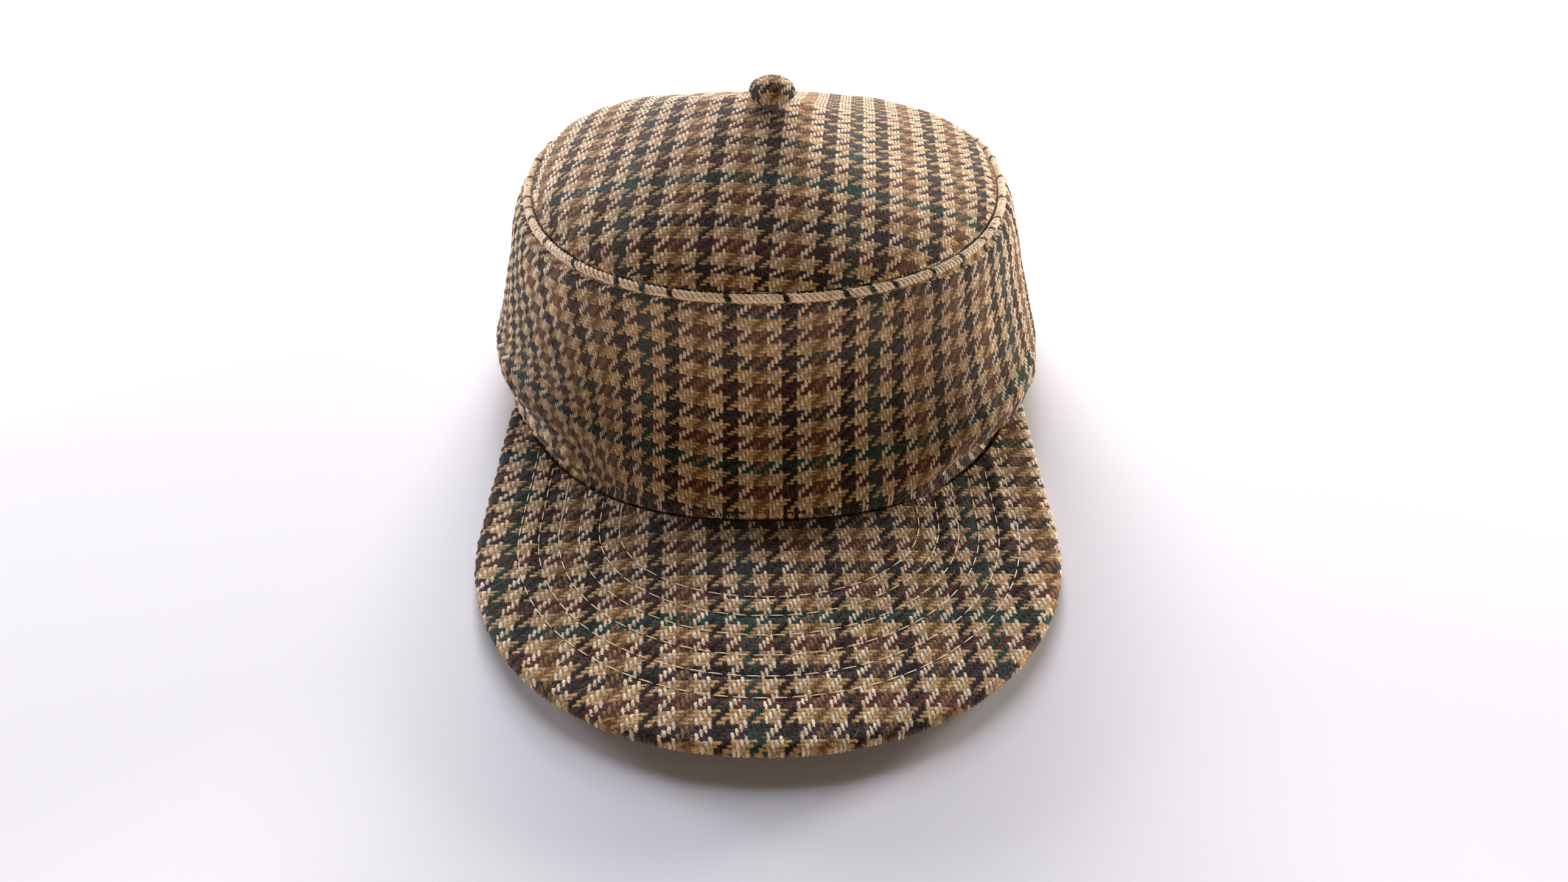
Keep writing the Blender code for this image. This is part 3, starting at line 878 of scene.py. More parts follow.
def seam_wool():
    """Cord of wool strands: fibres run along the strands."""
    made, tree = bare_material("seam wool strands")
    flat = add(tree, "UVMap", uv_map=THREAD_MAP)
    place = shifted(tree, flat, flat, scale=1.9, detail=3.0, amount=1.8)
    place = add(tree, "SeparateXYZ", {0: place})
    u, v = place.outputs[0], place.outputs[1]

    # Fibres: the phase counts strands, and noise is drawn out along them
    phase = add(tree, "Math", {0: u, 1: STRAND_LEAN}, operation="MULTIPLY")
    phase = add(tree, "Math", {0: v, 1: STRANDS / WELT_WRAP, 2: phase}, operation="MULTIPLY_ADD")
    spot = add(tree, "CombineXYZ", {0: phase, 1: u})
    spot = add(tree, "VectorMath", {0: spot, 1: (4.0, 0.35, 1.0)}, operation="MULTIPLY")
    fibres = add(tree, "TexNoise", {"Vector": spot, "Scale": 1.0, "Detail": 2.0})
    fibres = add(tree, "MapRange", {"Value": fibres, "From Min": 0.3, "From Max": 0.7})

    # Dark and green yarns where the band's warps end, and strands that are more or less tan
    crossed = add(tree, "Math", {0: v, 1: 0.45, 2: u}, operation="MULTIPLY_ADD")
    tints = (GREEN, DARK, CREAM, DARK, CREAM, DARK, CREAM, DARK)
    colour = thread_colours(tree, crossed, tints, CREAM, first=1.6, width=1.7)
    lane = add(tree, "Math", {0: phase}, operation="FLOOR")
    lane = add(tree, "TexWhiteNoise", {"W": lane}, noise_dimensions="1D")
    share = add(tree, "Math", {0: lane, 1: 0.45}, operation="MULTIPLY")
    inputs = {0: share, 6: linear("#FFFFFF"), 7: linear("#D9B78A")}
    tan = add(tree, "Mix", inputs, data_type="RGBA")
    inputs = {0: 1.0, 6: colour, 7: tan.outputs[2]}
    colour = add(tree, "Mix", inputs, data_type="RGBA", blend_type="MULTIPLY")

    # Painted shade: the colour is darkened between the strands, where the cord dips
    ridge = add(tree, "Math", {0: phase, 1: math.pi}, operation="MULTIPLY")
    ridge = add(tree, "Math", {0: ridge}, operation="SINE")
    ridge = add(tree, "Math", {0: ridge}, operation="ABSOLUTE")
    strand_shade = add(tree, "MapRange", {"Value": ridge, "From Max": 0.8, "To Min": 0.22})
    value = add(tree, "Math", {0: fibres, 1: 0.9, 2: 0.65}, operation="MULTIPLY_ADD")
    value = add(tree, "Math", {0: value, 1: strand_shade}, operation="MULTIPLY")
    wool = {
        "Base Color": add(tree, "HueSaturation", {"Color": colour.outputs[2], "Value": value}),
        "Normal": add(tree, "Bump", {"Height": fibres, "Strength": 0.7, "Distance": 0.0003}),
        "Roughness": 0.9,
        "Specular IOR Level": 0.15,
        "Sheen Weight": 0.6,
        "Sheen Roughness": 0.45,
        "Sheen Tint": linear("#E6D5BC"),
    }
    add(tree, "OutputMaterial", {0: add(tree, "BsdfPrincipled", wool)})
    return made


# %% Roll the seam
WELT_COLUMNS, WELT_ROWS, WELT_STRIPS = 2048, 16, 16
STRAND_LOW, STRAND_RISE = 0.80, 0.42


def strand_height(warp, turned):
    """0 between the strands to 1 on them, at warps and shares of the way round."""
    return np.abs(np.sin(math.pi * (STRANDS * turned + STRAND_LEAN * warp)))


def roll_seam():
    sheet = flat_grid(WELT_COLUMNS, WELT_ROWS, BAND_WARPS, WELT_WRAP)
    write_map(sheet, THREAD_MAP, lambda _, at: (BACK_WARP + at.x, at.y))
    write_map(sheet, BAKE_MAP, in_strips(WELT_STRIPS, BAND_WARPS, WELT_WRAP, 0.5))
    columns, rows = flat_places(sheet)
    turned = rows / WELT_WRAP
    strands = strand_height(BACK_WARP + columns, turned)
    spots = np.stack((columns, rows, np.zeros_like(rows)), axis=1)
    radius = WELT_RADIUS * (STRAND_LOW + STRAND_RISE * strands)
    radius = radius + waves(spots, size=1.1, height=0.00022, seed=2.0)
    turn = np.interp(2 * columns, np.arange(turn_grid.shape[1]), turn_grid[0])
    points = seam_line(turn, 0.0, 0.0)
    inner = seam_line(turn, WELT_RADIUS, 0.0) - points
    inner = inner / np.linalg.norm(inner, axis=-1, keepdims=True)
    roll = 2 * math.pi * (0.75 - turned)
    points = points + inner * (radius * np.cos(roll))[:, None]
    points[:, 2] += radius * np.sin(roll)
    move_to(sheet, points)
    bmesh.ops.remove_doubles(sheet, verts=sheet.verts[:], dist=SAME_PLACE)
    return finished("seam_roll", sheet, seam_wool())


welt = roll_seam()
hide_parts("top_seam_welt")
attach(welt, "root")

# %% [markdown]
# The top panel is cut from the same cloth a few degrees off the band's grain. Its threads
# run straight on across the dome, so a square sheet is laid over it and every crossing
# beyond the seam is cut away. The cut edge is drawn in to the seam exactly, turned down
# beside the roll, and carried on as a plain lining of the same cloth under the dome.

# %% Where the threads of the top lie
TOP_GRAIN = math.tan(math.radians(4.7))
TOP_SIZE, TOP_FIRST = (168, 172), (-52, -62)
# The wefts bow back by this much for a distance from the middle, squared
TOP_BOW = 0.013 / 0.08 ** 2
TOP_WARP_X, TOP_PITCH = -0.0436, 0.001066
# The cloth turns about this distance from the middle, to the left and to the front
TOP_PIVOT = 0.021
RIM_SLOPE = 0.9
# Places of the wefts along Y on the line through that point, by number
TOP_WEFT_PLACES = (
    (-80.0, 0.1820),
    (-50.0, 0.1420),
    (26.0, 0.0532),
    (34.0, 0.0440),
    (42.0, 0.0348),
    (50.0, 0.0257),
    (58.0, 0.0167),
    (66.0, 0.0077),
    (74.0, -0.0007),
    (82.0, -0.0096),
    (90.0, -0.0179),
    (94.0, -0.0222),
    (97.0, -0.0248),
    (100.0, -0.0265),
    (104.0, -0.0297),
    (112.0, -0.0365),
)


def top_plan(warp, weft):
    """The plan place of a crossing of the top panel."""
    y = section(TOP_WEFT_PLACES, weft)[0]
    x = TOP_WARP_X + TOP_PITCH * (warp - 2) + TOP_GRAIN * (y + TOP_PIVOT)
    return x, y - TOP_GRAIN * (x + TOP_PIVOT) + TOP_BOW * (x ** 2 - TOP_PIVOT ** 2)


rim_turns = np.linspace(-math.pi, math.pi, 721)
rim = seam_line(rim_turns, TUCK, WELT_RADIUS)
rim_angles = np.unwrap(np.arctan2(rim[:, 0] - DOME_MIDDLE[0], DOME_MIDDLE[1] - rim[:, 1]))


def polar_on_top(x, y):
    """The turn and the reach of plan places on the top panel."""
    from_x, from_y = x - DOME_MIDDLE[0], y - DOME_MIDDLE[1]
    turn = np.interp(np.arctan2(from_x, -from_y), rim_angles, rim_turns)
    edge = seam_line(turn, TUCK, WELT_RADIUS) - DOME_MIDDLE
    return turn, np.hypot(from_x, from_y) / np.hypot(edge[..., 0], edge[..., 1])


def drawn_in(reach):
    """Threads lie closer in plan near the rim, because the dome slopes down there."""
    past = np.clip((reach - RIM_SLOPE) / (1 - RIM_SLOPE), 0.0, 2.0)
    return np.minimum(reach, RIM_SLOPE) + (1 - RIM_SLOPE) * (past - 0.2 * past ** 2)


def top_polar(warp, weft):
    """The turn of a crossing, and its reach as it is laid on the dome."""
    turn, reach = polar_on_top(*top_plan(warp, weft))
    return turn, drawn_in(reach)


def top_place(warp, weft):
    turn, reach = top_polar(warp, weft)
    return dome_face(turn, np.minimum(reach, 0.9995))


# %% Close the underside of a sheet with rings
# The share of the bake's height that is for the outer side
OUTER_SHARE = 0.88
BAKE_MARGIN, BAKE_REST = 0.01, 0.98


def boundary_edges(sheet):
    return [edge for edge in sheet.edges if edge.is_boundary]


def next_ring(sheet, edges, places):
    """Extrude a closed edge and put the new vertices at places for their old ones."""
    made = bmesh.ops.extrude_edge_only(sheet, edges=edges)["geom"]
    new_vertices = [item for item in made if isinstance(item, bmesh.types.BMVert)]
    old = np.array([vertex.co for vertex in new_vertices])
    for vertex, point in zip(new_vertices, places(old)):
        vertex.co = point
    return [item for item in made if isinstance(item, bmesh.types.BMEdge) and item.is_boundary]


def from_middle(point):
    """The angle and the distance in plan of a point from the middle of the dome."""
    x, y = point.x - DOME_MIDDLE[0], DOME_MIDDLE[1] - point.y
    return math.atan2(x, y), math.hypot(x, y)


def inner_maps(sheet, faces):
    """UV places of the plain inner side: threads by plan, bake in a strip above."""
    threads, bake = (sheet.loops.layers.uv[name] for name in (THREAD_MAP, BAKE_MAP))
    whole_turn = 2 * math.pi
    for face in faces:
        base = from_middle(face.calc_center_median())[0]
        for loop in face.loops:
            corner = loop.vert.co
            loop[threads].uv = (corner.x / THREAD, -corner.y / THREAD)
            angle, out = from_middle(corner)
            angle -= whole_turn * round((angle - base) / whole_turn)
            share = BAKE_MARGIN + BAKE_REST * min(out / TOP_LENGTH * 1.6, 1.0)
            up = OUTER_SHARE + (1 - OUTER_SHARE) * share
            loop[bake].uv = (0.5 + BAKE_REST * angle / whole_turn, up)


def close_under(sheet, rings):
    """Close a sheet's edge with rings, each at places for the vertices before it."""
    outer = set(sheet.faces)
    edges = boundary_edges(sheet)
    for places in rings:
        edges = next_ring(sheet, edges, places)
    bmesh.ops.contextual_create(sheet, geom=edges)
    inner_maps(sheet, [face for face in sheet.faces if face not in outer])
    settle(sheet, outer)


# %% Weave the top
INNER_REACHES = (0.97, 0.9, 0.78, 0.62, 0.44, 0.26, 0.1)
LAST_REACH = 0.992


def turns_of(points):
    return polar_on_top(points[:, 0], points[:, 1])[0]


def top_ring(inset):
    """Places for a ring beside the rolled seam."""
    return lambda old: seam_line(turns_of(old), inset, GAP / 2)


def lining_ring(reach):
    """Places for a ring under the dome."""
    return lambda old: dome_face(turns_of(old), np.full(len(old), reach)) - (0, 0, CLOTH)


def weave_top():
    def keep(warp, weft):
        return top_polar(warp, weft)[1] < LAST_REACH

    sheet, warp, weft, on_edge = cut_cloth(TOP_SIZE, TOP_FIRST, keep, OUTER_SHARE)
    turn, reach = top_polar(warp, weft)
    points = top_place(warp, weft)
    fade = np.clip((1 - reach) * 12, 0.0, 1.0)
    height = fade * waves(points, size=0.012, height=0.0006, seed=8.0)
    height = relief(warp, weft) + height
    points = points + normals_of(top_place, warp, weft, 0.5, 0.5) * height[:, None]
    move_to(sheet, np.where(on_edge[:, None], dome_face(turn, np.ones_like(turn)), points))
    rings = [top_ring(TUCK), top_ring(TUCK + CLOTH)]
    close_under(sheet, rings + [lining_ring(reach) for reach in INNER_REACHES])
    return finished("top_cloth", sheet, top_tweed)


top = weave_top()
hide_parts("crown_top")
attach(top, "root")

# %% [markdown]
# The visor is a stiff board with cloth stretched over it and rolled round its outer edge.
# In plan it is a crescent between the band's foot and the rim. Its sheet reaches over the
# edge as far as the middle of its thickness, and a second sheet comes up from below.

# %% The visor's outline
VISOR_RADIUS = VISOR_THICKNESS / 2
ROLL_REACH = VISOR_RADIUS * math.pi / 2
OUTLINE_STEPS = 3000


def foot_curve(share):
    """The visor's inner edge, which follows the foot of the band."""
    front_half = HEAD_LENGTH * HEAD_WIDEST
    last = math.acos((1 - VISOR_BACK / front_half) ** (HEAD_CORNER / 2))
    x, y = oval(
        blend(-last, last, share),
        HEAD_WIDTH / 2 + GAP,
        -GAP,
        HEAD_LENGTH + GAP,
        HEAD_CORNER,
        HEAD_WIDEST,
    )
    return np.stack((x, y), axis=-1)


def rim_curve(share, inset):
    """The visor's outer edge: straight sides from its tips, a half oval in front."""
    half_width, length = VISOR_WIDTH / 2 - inset, VISOR_LENGTH - inset
    tip = foot_curve(np.array(1.0)) + (VISOR_TIP - inset, 0.0)
    side = tip[1] / (tip[1] + RIM_EVENNESS * length)
    from_tip = 1 - np.abs(2 * share - 1)
    back = np.clip(1 - from_tip / side, 0.0, 1.0)
    turn = np.clip(math.pi / 2 * (from_tip - side) / (1 - side), 0.0, math.pi / 2)
    x = half_width * np.cos(turn) ** (2 / VISOR_CORNER)
    y = -length * np.sin(turn) ** (2 / VISOR_CORNER)
    x = np.where(from_tip < side, blend(half_width, tip[0], back), x)
    y = np.where(from_tip < side, tip[1] * back, y)
    return np.stack((np.where(share < 0.5, -x, x), y), axis=-1)


def visor_middle(x, y):
    """Height of the middle of the visor's thickness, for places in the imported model."""
    across = (x - SHIFT[0]) / (VISOR_WIDTH / 2)
    forwards = np.maximum(-(y - SHIFT[1]) / VISOR_LENGTH, 0.0)
    base = VISOR_FLOOR_GAP + VISOR_THICKNESS / 2
    return base + VISOR_ARCH * (1 - across ** 2) + VISOR_LIFT * forwards


class Outline:
    """A plan line that tells, for places, the nearest point, the way out and how far."""

    def __init__(self, points):
        self.points = points
        tangents = np.gradient(points, axis=0)
        tangents /= np.linalg.norm(tangents, axis=1, keepdims=True)
        self.normals = np.stack((tangents[:, 1], -tangents[:, 0]), axis=1)
        self.tree = kdtree.KDTree(len(points))
        for index, point in enumerate(points):
            self.tree.insert((*point, 0.0), index)
        self.tree.balance()

    def nearest(self, x, y):
        found = np.array([self.tree.find((a, b, 0.0))[1] for a, b in zip(x, y)])
        point, normal = self.points[found], self.normals[found]
        away = np.stack((x, y), axis=1) - point
        distance = (away * normal).sum(axis=1)
        return point, normal, distance


outline_shares = np.linspace(0.0, 1.0, OUTLINE_STEPS + 1)
rim_outline = Outline(rim_curve(outline_shares, VISOR_RADIUS) + SHIFT[:2])
foot_outline = Outline(foot_curve(outline_shares) + SHIFT[:2])
tip_y = foot_curve(np.array(1.0))[1] + SHIFT[1]
print("visor tips at y, mm:", round(1000 * float(tip_y), 1))

# %% [markdown]
# Six rows of stitches run round the visor, each a smaller copy of the rim, and pull the
# cloth down into shallow grooves. The rows are half ovals with straight sides, and their
# distances from the rim are counted from the outermost.

# %% Stitch rows
STITCH_ROWS = 6
ROW_HALF_WIDTH, ROW_HALF_STEP = 0.0740, 0.00587
ROW_FRONT, ROW_FRONT_STEP = -0.1275, 0.00692
ROW_CORNER, ROW_STEP = 2.05, 0.0002
BAND_MARGIN, ROW_END = 0.0012, -0.004
GROOVE_DEPTH, GROOVE_WIDTH = 0.00038, 0.0011


def stitch_row(number):
    """One row of stitches as plan points, from the left of the band to its right."""
    half_width = ROW_HALF_WIDTH - ROW_HALF_STEP * number
    front = ROW_FRONT + ROW_FRONT_STEP * number
    sides = np.linspace(ROW_END, FRONT_Y, 120)[:, None] * (0, 1)
    turn = np.linspace(0.0, math.pi, 1200)
    x = -half_width * np.sign(np.cos(turn)) * np.abs(np.cos(turn)) ** (2 / ROW_CORNER)
    y = FRONT_Y + (front - FRONT_Y) * np.sin(turn) ** (2 / ROW_CORNER)
    left = sides + (-half_width, 0.0)
    right = sides[::-1] + (half_width, 0.0)
    line = np.concatenate((left, np.stack((x, y), axis=1), right))
    outside_band = foot_outline.nearest(line[:, 0], line[:, 1])[2] > BAND_MARGIN
    return line[outside_band]


def even_line(line, step):
    """The same line with points a step apart."""
    along = lengths_along(line)
    keep = np.concatenate(([True], np.diff(along) > 1e-9))
    along, line = along[keep], line[keep]
    places = np.arange(0.0, along[-1], step)
    return np.stack([np.interp(places, along, line[:, axis]) for axis in range(2)], axis=1)


stitch_lines = [even_line(stitch_row(number), ROW_STEP) for number in range(STITCH_ROWS)]
print("stitch rows, mm:", [round(1000 * ROW_STEP * len(line)) for line in stitch_lines])
row_tree = kdtree.KDTree(sum(len(line) for line in stitch_lines))
for index, point in enumerate(np.concatenate(stitch_lines)):
    row_tree.insert((*point, 0.0), index)
row_tree.balance()


def groove(x, y):
    """How deep the stitch rows press the cloth at plan places."""
    away = np.array([row_tree.find((a, b, 0.0))[2] for a, b in zip(x, y)])
    return GROOVE_DEPTH * np.exp(-((away / GROOVE_WIDTH) ** 2))


# %% Where the threads of the visor lie
VISOR_SIZE, VISOR_FIRST = (172, 132), (-14, -20)
# Places of the warps along X, and how far they lean as they run forward, by number
VISOR_LEAN_FROM = -0.097
VISOR_WARP_PLACES = (
    # number, x at that y, lean
    (-40.0, -0.1214, 0.000),
    (2.0, -0.0758, 0.000),
    (66.0, -0.0062, 0.065),
    (130.0, 0.0605, 0.020),
    (180.0, 0.1127, 0.020),
)
VISOR_WEFT_Y, VISOR_WEFT_PITCH = -0.1003, 0.001167
# How far the wefts sag forward, by X
VISOR_SAG = (
    (-0.09, -0.0040),
    (-0.06, -0.0040),
    (-0.045, -0.0026),
    (-0.03, -0.0004),
    (0.0, 0.0),
    (0.09, 0.0),
)


def visor_plan(warp, weft):
    """The plan place of a crossing, before the cloth is rolled round the edge."""
    y = VISOR_WEFT_Y - VISOR_WEFT_PITCH * (weft - GREEN_WEFT)
    x, lean = section(VISOR_WARP_PLACES, warp)
    x = x + lean * (VISOR_LEAN_FROM - y)
    return x, y + section(VISOR_SAG, x)[0]


def cut_visor(x, y):
    """How far plan places lie outside the crescent: past the rim's roll, past the foot
    of the band, and past the tips."""
    past_rim = rim_outline.nearest(x, y)[2] - ROLL_REACH
    past_foot = -foot_outline.nearest(x, y)[2]
    return np.stack((past_rim, past_foot, y - tip_y))


def roll_over(x, y):
    """Put plan places on the visor's upper face, and round its edge beyond that."""
    point, normal, distance = rim_outline.nearest(x, y)
    over = np.clip(distance, 0.0, ROLL_REACH) / VISOR_RADIUS
    on_roll = distance > 0
    rolled = point + normal * (VISOR_RADIUS * np.sin(over))[:, None]
    x, y = np.where(on_roll, rolled.T, (x, y))
    z = visor_middle(x, y) + VISOR_RADIUS * np.where(on_roll, np.cos(over), 1.0)
    return np.stack((x, y, z), axis=1)


def drawn_to_edge(x, y):
    """Move plan places on to the nearest edge of the crescent."""
    nearest = np.abs(cut_visor(x, y)).argmin(axis=0)
    point, normal, _ = rim_outline.nearest(x, y)
    on_rim = point + normal * ROLL_REACH
    on_foot = foot_outline.nearest(x, y)[0]
    on_tips = np.stack((x, np.full_like(y, tip_y)))
    return np.select([nearest == 0, nearest == 1], [on_rim.T, on_foot.T], on_tips)


# %% Weave the visor
UPPER_SHARE = 0.55
CUT_MARGIN, NORMAL_STEP = 0.3, 0.25


def weave_visor():
    def keep(warp, weft):
        return (cut_visor(*visor_plan(warp, weft)) < -CUT_MARGIN * THREAD).all(axis=0)

    sheet, warp, weft, on_edge = cut_cloth(VISOR_SIZE, VISOR_FIRST, keep, UPPER_SHARE)
    x, y = visor_plan(warp, weft)
    x, y = np.where(on_edge, drawn_to_edge(x, y), (x, y))
    points = roll_over(x, y)
    step = NORMAL_STEP * THREAD
    height = relief(warp, weft) - groove(x, y)
    height = height + waves(points, size=0.010, height=0.00025, seed=5.0)
    height = np.where(on_edge, 0.0, height)
    move_to(sheet, points + normals_of(roll_over, x, y, step, -step) * height[:, None])
    return sheet


def close_visor(sheet):
    """Add the lower sheet, and the narrow walls at the band's foot and the tips."""
    lower = bmesh.ops.duplicate(sheet, geom=sheet.faces[:])["geom"]
    lower_faces = {item for item in lower if isinstance(item, bmesh.types.BMFace)}
    bake = sheet.loops.layers.uv[BAKE_MAP]
    for face in lower_faces:
        for loop in face.loops:
            across, up = loop[bake].uv
            loop[bake].uv = (across, UPPER_SHARE + up / UPPER_SHARE * (1 - UPPER_SHARE))

    # The rim's edges meet the lower sheet, all others are high and need a wall
    walls = []
    for edge in boundary_edges(sheet):
        middle = (edge.verts[0].co + edge.verts[1].co) / 2
        above = middle.z - float(visor_middle(middle.x, middle.y))
        if edge.link_faces[0] not in lower_faces and above > VISOR_RADIUS / 2:
            walls.append(edge)
    both_sheets = set(sheet.faces)
    made = bmesh.ops.extrude_edge_only(sheet, edges=walls)["geom"]
    for item in lower + made:
        if isinstance(item, bmesh.types.BMVert):
            item.co.z = 2 * float(visor_middle(item.co.x, item.co.y)) - item.co.z
    settle(sheet, both_sheets)
    bmesh.ops.remove_doubles(sheet, verts=sheet.verts[:], dist=0.000003)


visor_sheet = weave_visor()
close_visor(visor_sheet)
visor = finished("visor_cloth", visor_sheet, visor_tweed)
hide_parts("visor")
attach(visor, "root")

# %% [markdown]
# The button is a disc of metal under a round of the same cloth, drawn tight underneath.
# A small square sheet is laid over its dome from the middle outwards, cut round, and its
# edge is gathered in below.

# %% Cover the button
BUTTON_THREADS = 22
BUTTON_PITCH = 0.00098
BUTTON_FIRST = (22, 34)
BUTTON_RIM = -0.45
BUTTON_HEM = 0.04 * BUTTON_HEIGHT
BUTTON_BASE = DOME_MIDDLE + np.array((BUTTON_SIDEWAYS, 0.0, GAP))

button_tilts = np.linspace(math.pi / 2, -math.pi / 2, 400)
button_radii = BUTTON_WIDTH / 2 * np.abs(np.cos(button_tilts)) ** BUTTON_PROFILE
button_heights = BUTTON_HEIGHT / 2 * (1 + np.sin(button_tilts))
button_along = lengths_along(np.stack((button_radii, button_heights), axis=1))
button_reach = float(np.interp(-BUTTON_RIM, -button_tilts, button_along))


def button_plan(warp, weft):
    """How far a crossing is from the button's middle, along X and along Y."""
    half = BUTTON_THREADS / 2
    x = (warp - BUTTON_FIRST[0] - half) * BUTTON_PITCH
    return x, (half - (weft - BUTTON_FIRST[1])) * BUTTON_PITCH


def button_place(x, y):
    """Lay plan places over the button, keeping their distance from its middle."""
    out = np.maximum(np.hypot(x, y), 1e-9)
    radius = np.interp(out, button_along, button_radii)
    height = np.interp(out, button_along, button_heights)
    return np.stack((x / out * radius, y / out * radius, height), axis=-1) + BUTTON_BASE


def button_ring(share):
    """Places for a ring under the button, drawn in to a share of the one before."""
    hem = BUTTON_BASE + (0.0, 0.0, BUTTON_HEM * share)
    return lambda old: hem + (old - BUTTON_BASE) * (share, share, 0.0)


def cover_button():
    def keep(warp, weft):
        return np.hypot(*button_plan(warp, weft)) < button_reach - CUT_MARGIN * BUTTON_PITCH

    size = (BUTTON_THREADS, BUTTON_THREADS)
    sheet, warp, weft, on_edge = cut_cloth(size, BUTTON_FIRST, keep, OUTER_SHARE)
    x, y = button_plan(warp, weft)
    scale = np.where(on_edge, button_reach / np.maximum(np.hypot(x, y), 1e-9), 1.0)
    x, y = x * scale, y * scale
    step = 0.2 * BUTTON_PITCH
    height = np.where(on_edge, 0.0, relief(warp, weft))
    normals = normals_of(button_place, x, y, step, -step)
    move_to(sheet, button_place(x, y) + normals * height[:, None])
    close_under(sheet, [button_ring(0.8), button_ring(0.5)])
    return finished("button_cloth", sheet, button_tweed)


button = cover_button()
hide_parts("top_button")
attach(button, "root")

# %% [markdown]
# The visor's stitches are a thin cream thread. Each stitch is one small capsule: a sphere
# of few faces drawn out along the row and laid in its groove.

# %% Stitch the visor
STITCH_LENGTH, STITCH_GAP, STITCH_WIDTH = 0.0040, 0.0010, 0.00038
STITCH_SUNK = 0.3


def stitch_thread():
    """Mercerised sewing thread: smooth, slightly glossy, cream."""
    made, tree = bare_material("cream sewing thread")
    place = add(tree, "TexCoord").outputs["Object"]
    grain = add(tree, "TexNoise", {"Vector": place, "Scale": 3500.0, "Detail": 2.0})
    ramp = add(tree, "ValToRGB", {"Fac": grain})
    fill_ramp(ramp.color_ramp, [(0.3, linear("#CDB78F")), (0.7, linear("#F6EAD0"))])
    bump = add(tree, "Bump", {"Height": grain, "Strength": 0.4, "Distance": 0.0001})
    inputs = {"Base Color": ramp, "Normal": bump, "Roughness": 0.6, "Sheen Weight": 0.1}
    add(tree, "OutputMaterial", {0: add(tree, "BsdfPrincipled", inputs)})
    return made


def place_in_groove(line, place):
    """A point on the cloth of the visor, at a distance along a row of stitches."""
    along = ROW_STEP * np.arange(len(line))
    x, y = (float(np.interp(place, along, line[:, axis])) for axis in range(2))
    return Vector((x, y, float(visor_middle(x, y)) + VISOR_RADIUS - GROOVE_DEPTH * STITCH_SUNK))


def sew_rows():
    sewn = bmesh.new()
    count = 0
    for line in stitch_lines:
        start = 0.0
        while start + STITCH_LENGTH < ROW_STEP * (len(line) - 1):
            first = place_in_groove(line, start)
            last = place_in_groove(line, start + STITCH_LENGTH)
            made = bmesh.ops.create_uvsphere(sewn, u_segments=7, v_segments=5, radius=0.5)
            size = (STITCH_WIDTH, STITCH_WIDTH * 0.8, (last - first).length)
            bmesh.ops.scale(sewn, verts=made["verts"], vec=size)
            turn = (last - first).to_track_quat("Z", "Y").to_matrix()
            bmesh.ops.rotate(sewn, verts=made["verts"], matrix=turn)
            bmesh.ops.translate(sewn, verts=made["verts"], vec=(first + last) / 2)
            start += STITCH_LENGTH + STITCH_GAP
            count += 1
    print("stitches:", count)
    settle(sewn, set())
    return finished("visor_stitches", sewn, stitch_thread())


stitches = sew_rows()
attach(stitches, "root")

# %% [markdown]
# Wool is never clean of loose fibres. Some thousands curl over the cloth and stand out
# along its outline, which is what makes tweed look soft. Each is a fine poly curve of a
# few points with a thin bevel, all turned into one mesh.

# %% Loose fibres
FIBRES_ON = {"band_cloth": 2000, "top_cloth": 1200, "visor_cloth": 1200, "button_cloth": 50}
FIBRE_RADIUS = 0.000028
FIBRE_STEPS = 4
LOWEST_FIBRE = 0.003


def wool_fibre():
    made, tree = bare_material("loose wool fibre")
    inputs = {"Base Color": linear("#B59A74"), "Roughness": 0.8, "Sheen Weight": 0.3}
    add(tree, "OutputMaterial", {0: add(tree, "BsdfPrincipled", inputs)})
    return made


def lay_fibre(spline, face, dice):
    """One arched and bent fibre over a face."""
    normal = face.normal.copy()
    side = normal.cross(Vector([dice.uniform(-1, 1) for _ in range(3)]))
    side.normalize()
    bend = normal.cross(side) * dice.uniform(-1.0, 1.0)
    length = dice.uniform(0.0010, 0.0045)
    lift = dice.uniform(0.1, 0.45) * length
    spline.points.add(FIBRE_STEPS)
    for step, point in enumerate(spline.points):
        share = step / FIBRE_STEPS
        place = face.center + side * (length * (share - 0.5))
        place = place + bend * (length * 0.6 * share ** 2)
        place = place + normal * (lift * 4 * share * (1 - share))
        point.co = (*place, 1.0)


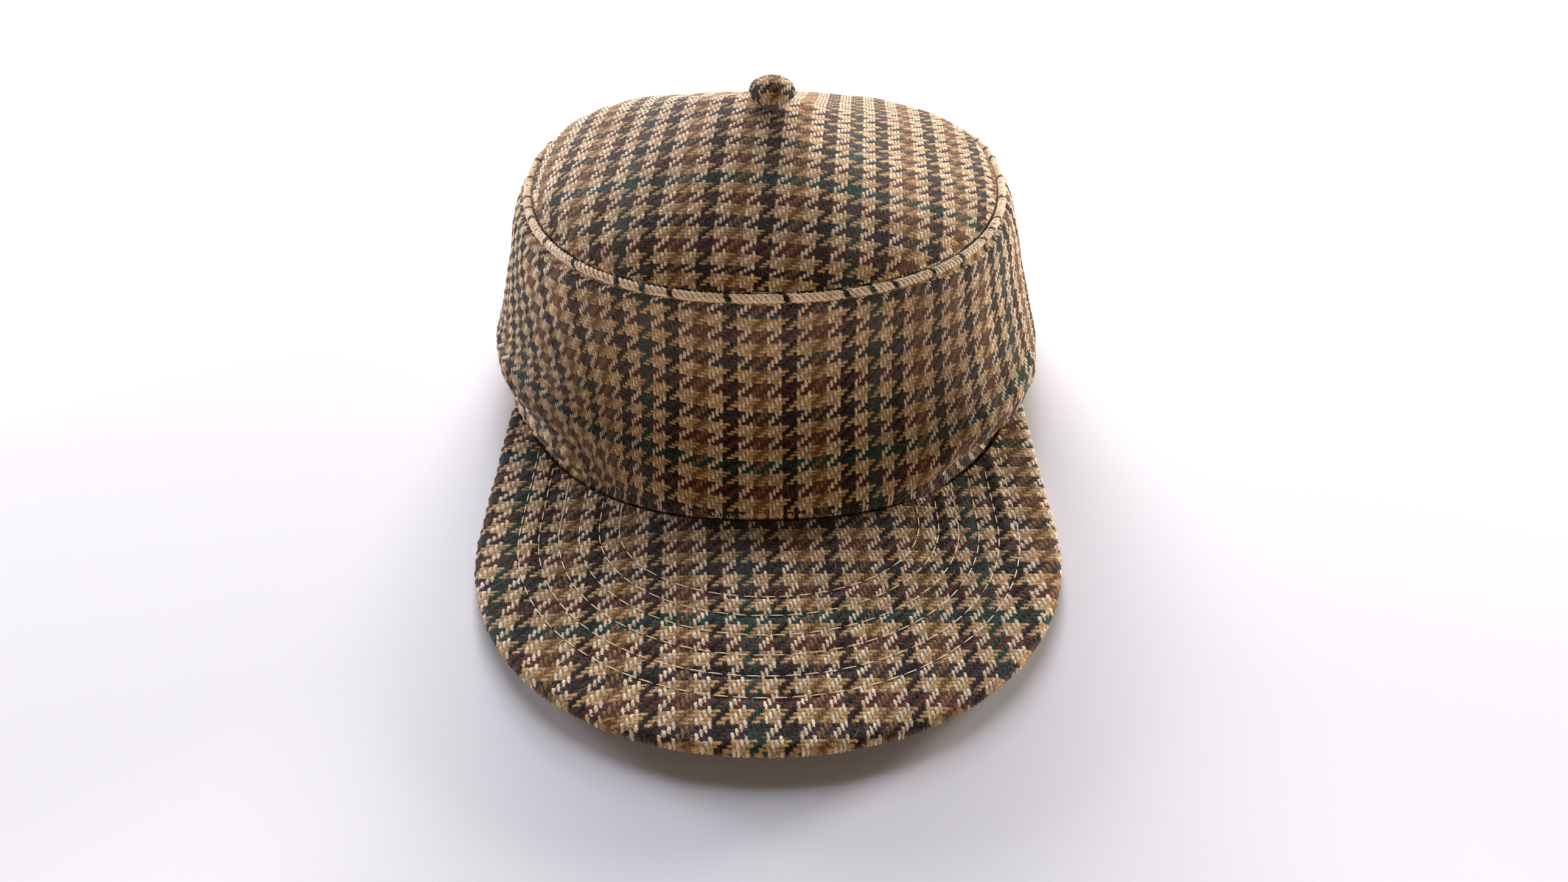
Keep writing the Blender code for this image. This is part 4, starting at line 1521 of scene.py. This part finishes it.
def strew_fibres(pieces):
    dice = random.Random(7)
    curve = bpy.data.curves.new("loose_fibres", "CURVE")
    curve.dimensions = "3D"
    curve.bevel_depth = FIBRE_RADIUS
    curve.bevel_resolution = 0
    curve.use_fill_caps = True
    for piece in pieces:
        faces = piece.data.polygons
        for _ in range(FIBRES_ON[piece.name]):
            face = faces[dice.randrange(len(faces))]
            if face.center.z >= LOWEST_FIBRE:
                lay_fibre(curve.splines.new("POLY"), face, dice)
    made = bpy.data.objects.new("loose_fibres_curve", curve)
    bpy.context.collection.objects.link(made)
    evaluated = made.evaluated_get(bpy.context.evaluated_depsgraph_get())
    data = bpy.data.meshes.new_from_object(evaluated)
    bpy.data.objects.remove(made, do_unlink=True)
    sheet = bmesh.new()
    sheet.from_mesh(data)
    bpy.data.meshes.remove(data)
    return finished("loose_fibres", sheet, wool_fibre())


fibres = strew_fibres([band, top, visor, button])
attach(fibres, "root")

# %% [markdown]
# The cap stands on a plain pale ground in daylight. A large high window behind it makes
# the top the brightest part and leaves the front of the band in shade. A low window behind
# lights the nap of the top at a grazing angle, two small ones show the folds at the sides,
# and a weak warm light stands for the room in front.

# %% Ground and light
LIGHTS = (
    # name, place, height it is aimed at, size, power, colour
    ("window", (-0.40, 4.00, 3.20), 0.03, 4.0, 310.0, "#F2F5FF"),
    ("low window", (-0.10, 2.60, 0.70), 0.05, 1.2, 160.0, "#FFF6F0"),
    ("sky light", (0.0, 0.90, 1.60), 0.0, 0.6, 3.0, "#F2F5FF"),
    ("left window", (-1.9, 1.2, 0.29), 0.04, 0.5, 64.0, "#F4F6FF"),
    ("right window", (1.9, 1.2, 0.31), 0.04, 0.5, 96.0, "#FFF9F2"),
    ("room", (0.1, -1.7, 0.35), 0.04, 1.0, 12.0, "#FFE4C8"),
)


def ground():
    made, tree = bare_material("pale painted floor")
    inputs = {"Base Color": linear("#D2D1D7"), "Roughness": 0.9}
    add(tree, "OutputMaterial", {0: add(tree, "BsdfPrincipled", inputs)})
    sheet = bmesh.new()
    bmesh.ops.create_grid(sheet, x_segments=1, y_segments=1, size=3.0)
    floor = finished("floor", sheet, made)


ground()
for name, place, aim, size, power, colour in LIGHTS:
    data = bpy.data.lights.new(name, "AREA")
    data.shape = "SQUARE"
    data.size = size
    data.energy = power
    data.color = linear(colour)[:3]
    light = bpy.data.objects.new(name, data)
    light.location = place
    towards = Vector((0.0, 0.0, aim)) - Vector(place)
    light.rotation_euler = towards.to_track_quat("-Z", "Y").to_euler()
    bpy.context.collection.objects.link(light)
world = bpy.data.worlds.new("daylight")
world.use_nodes = True
world.node_tree.nodes["Background"].inputs[0].default_value = linear("#FFF4EA")
world.node_tree.nodes["Background"].inputs[1].default_value = 0.04
bpy.context.scene.world = world
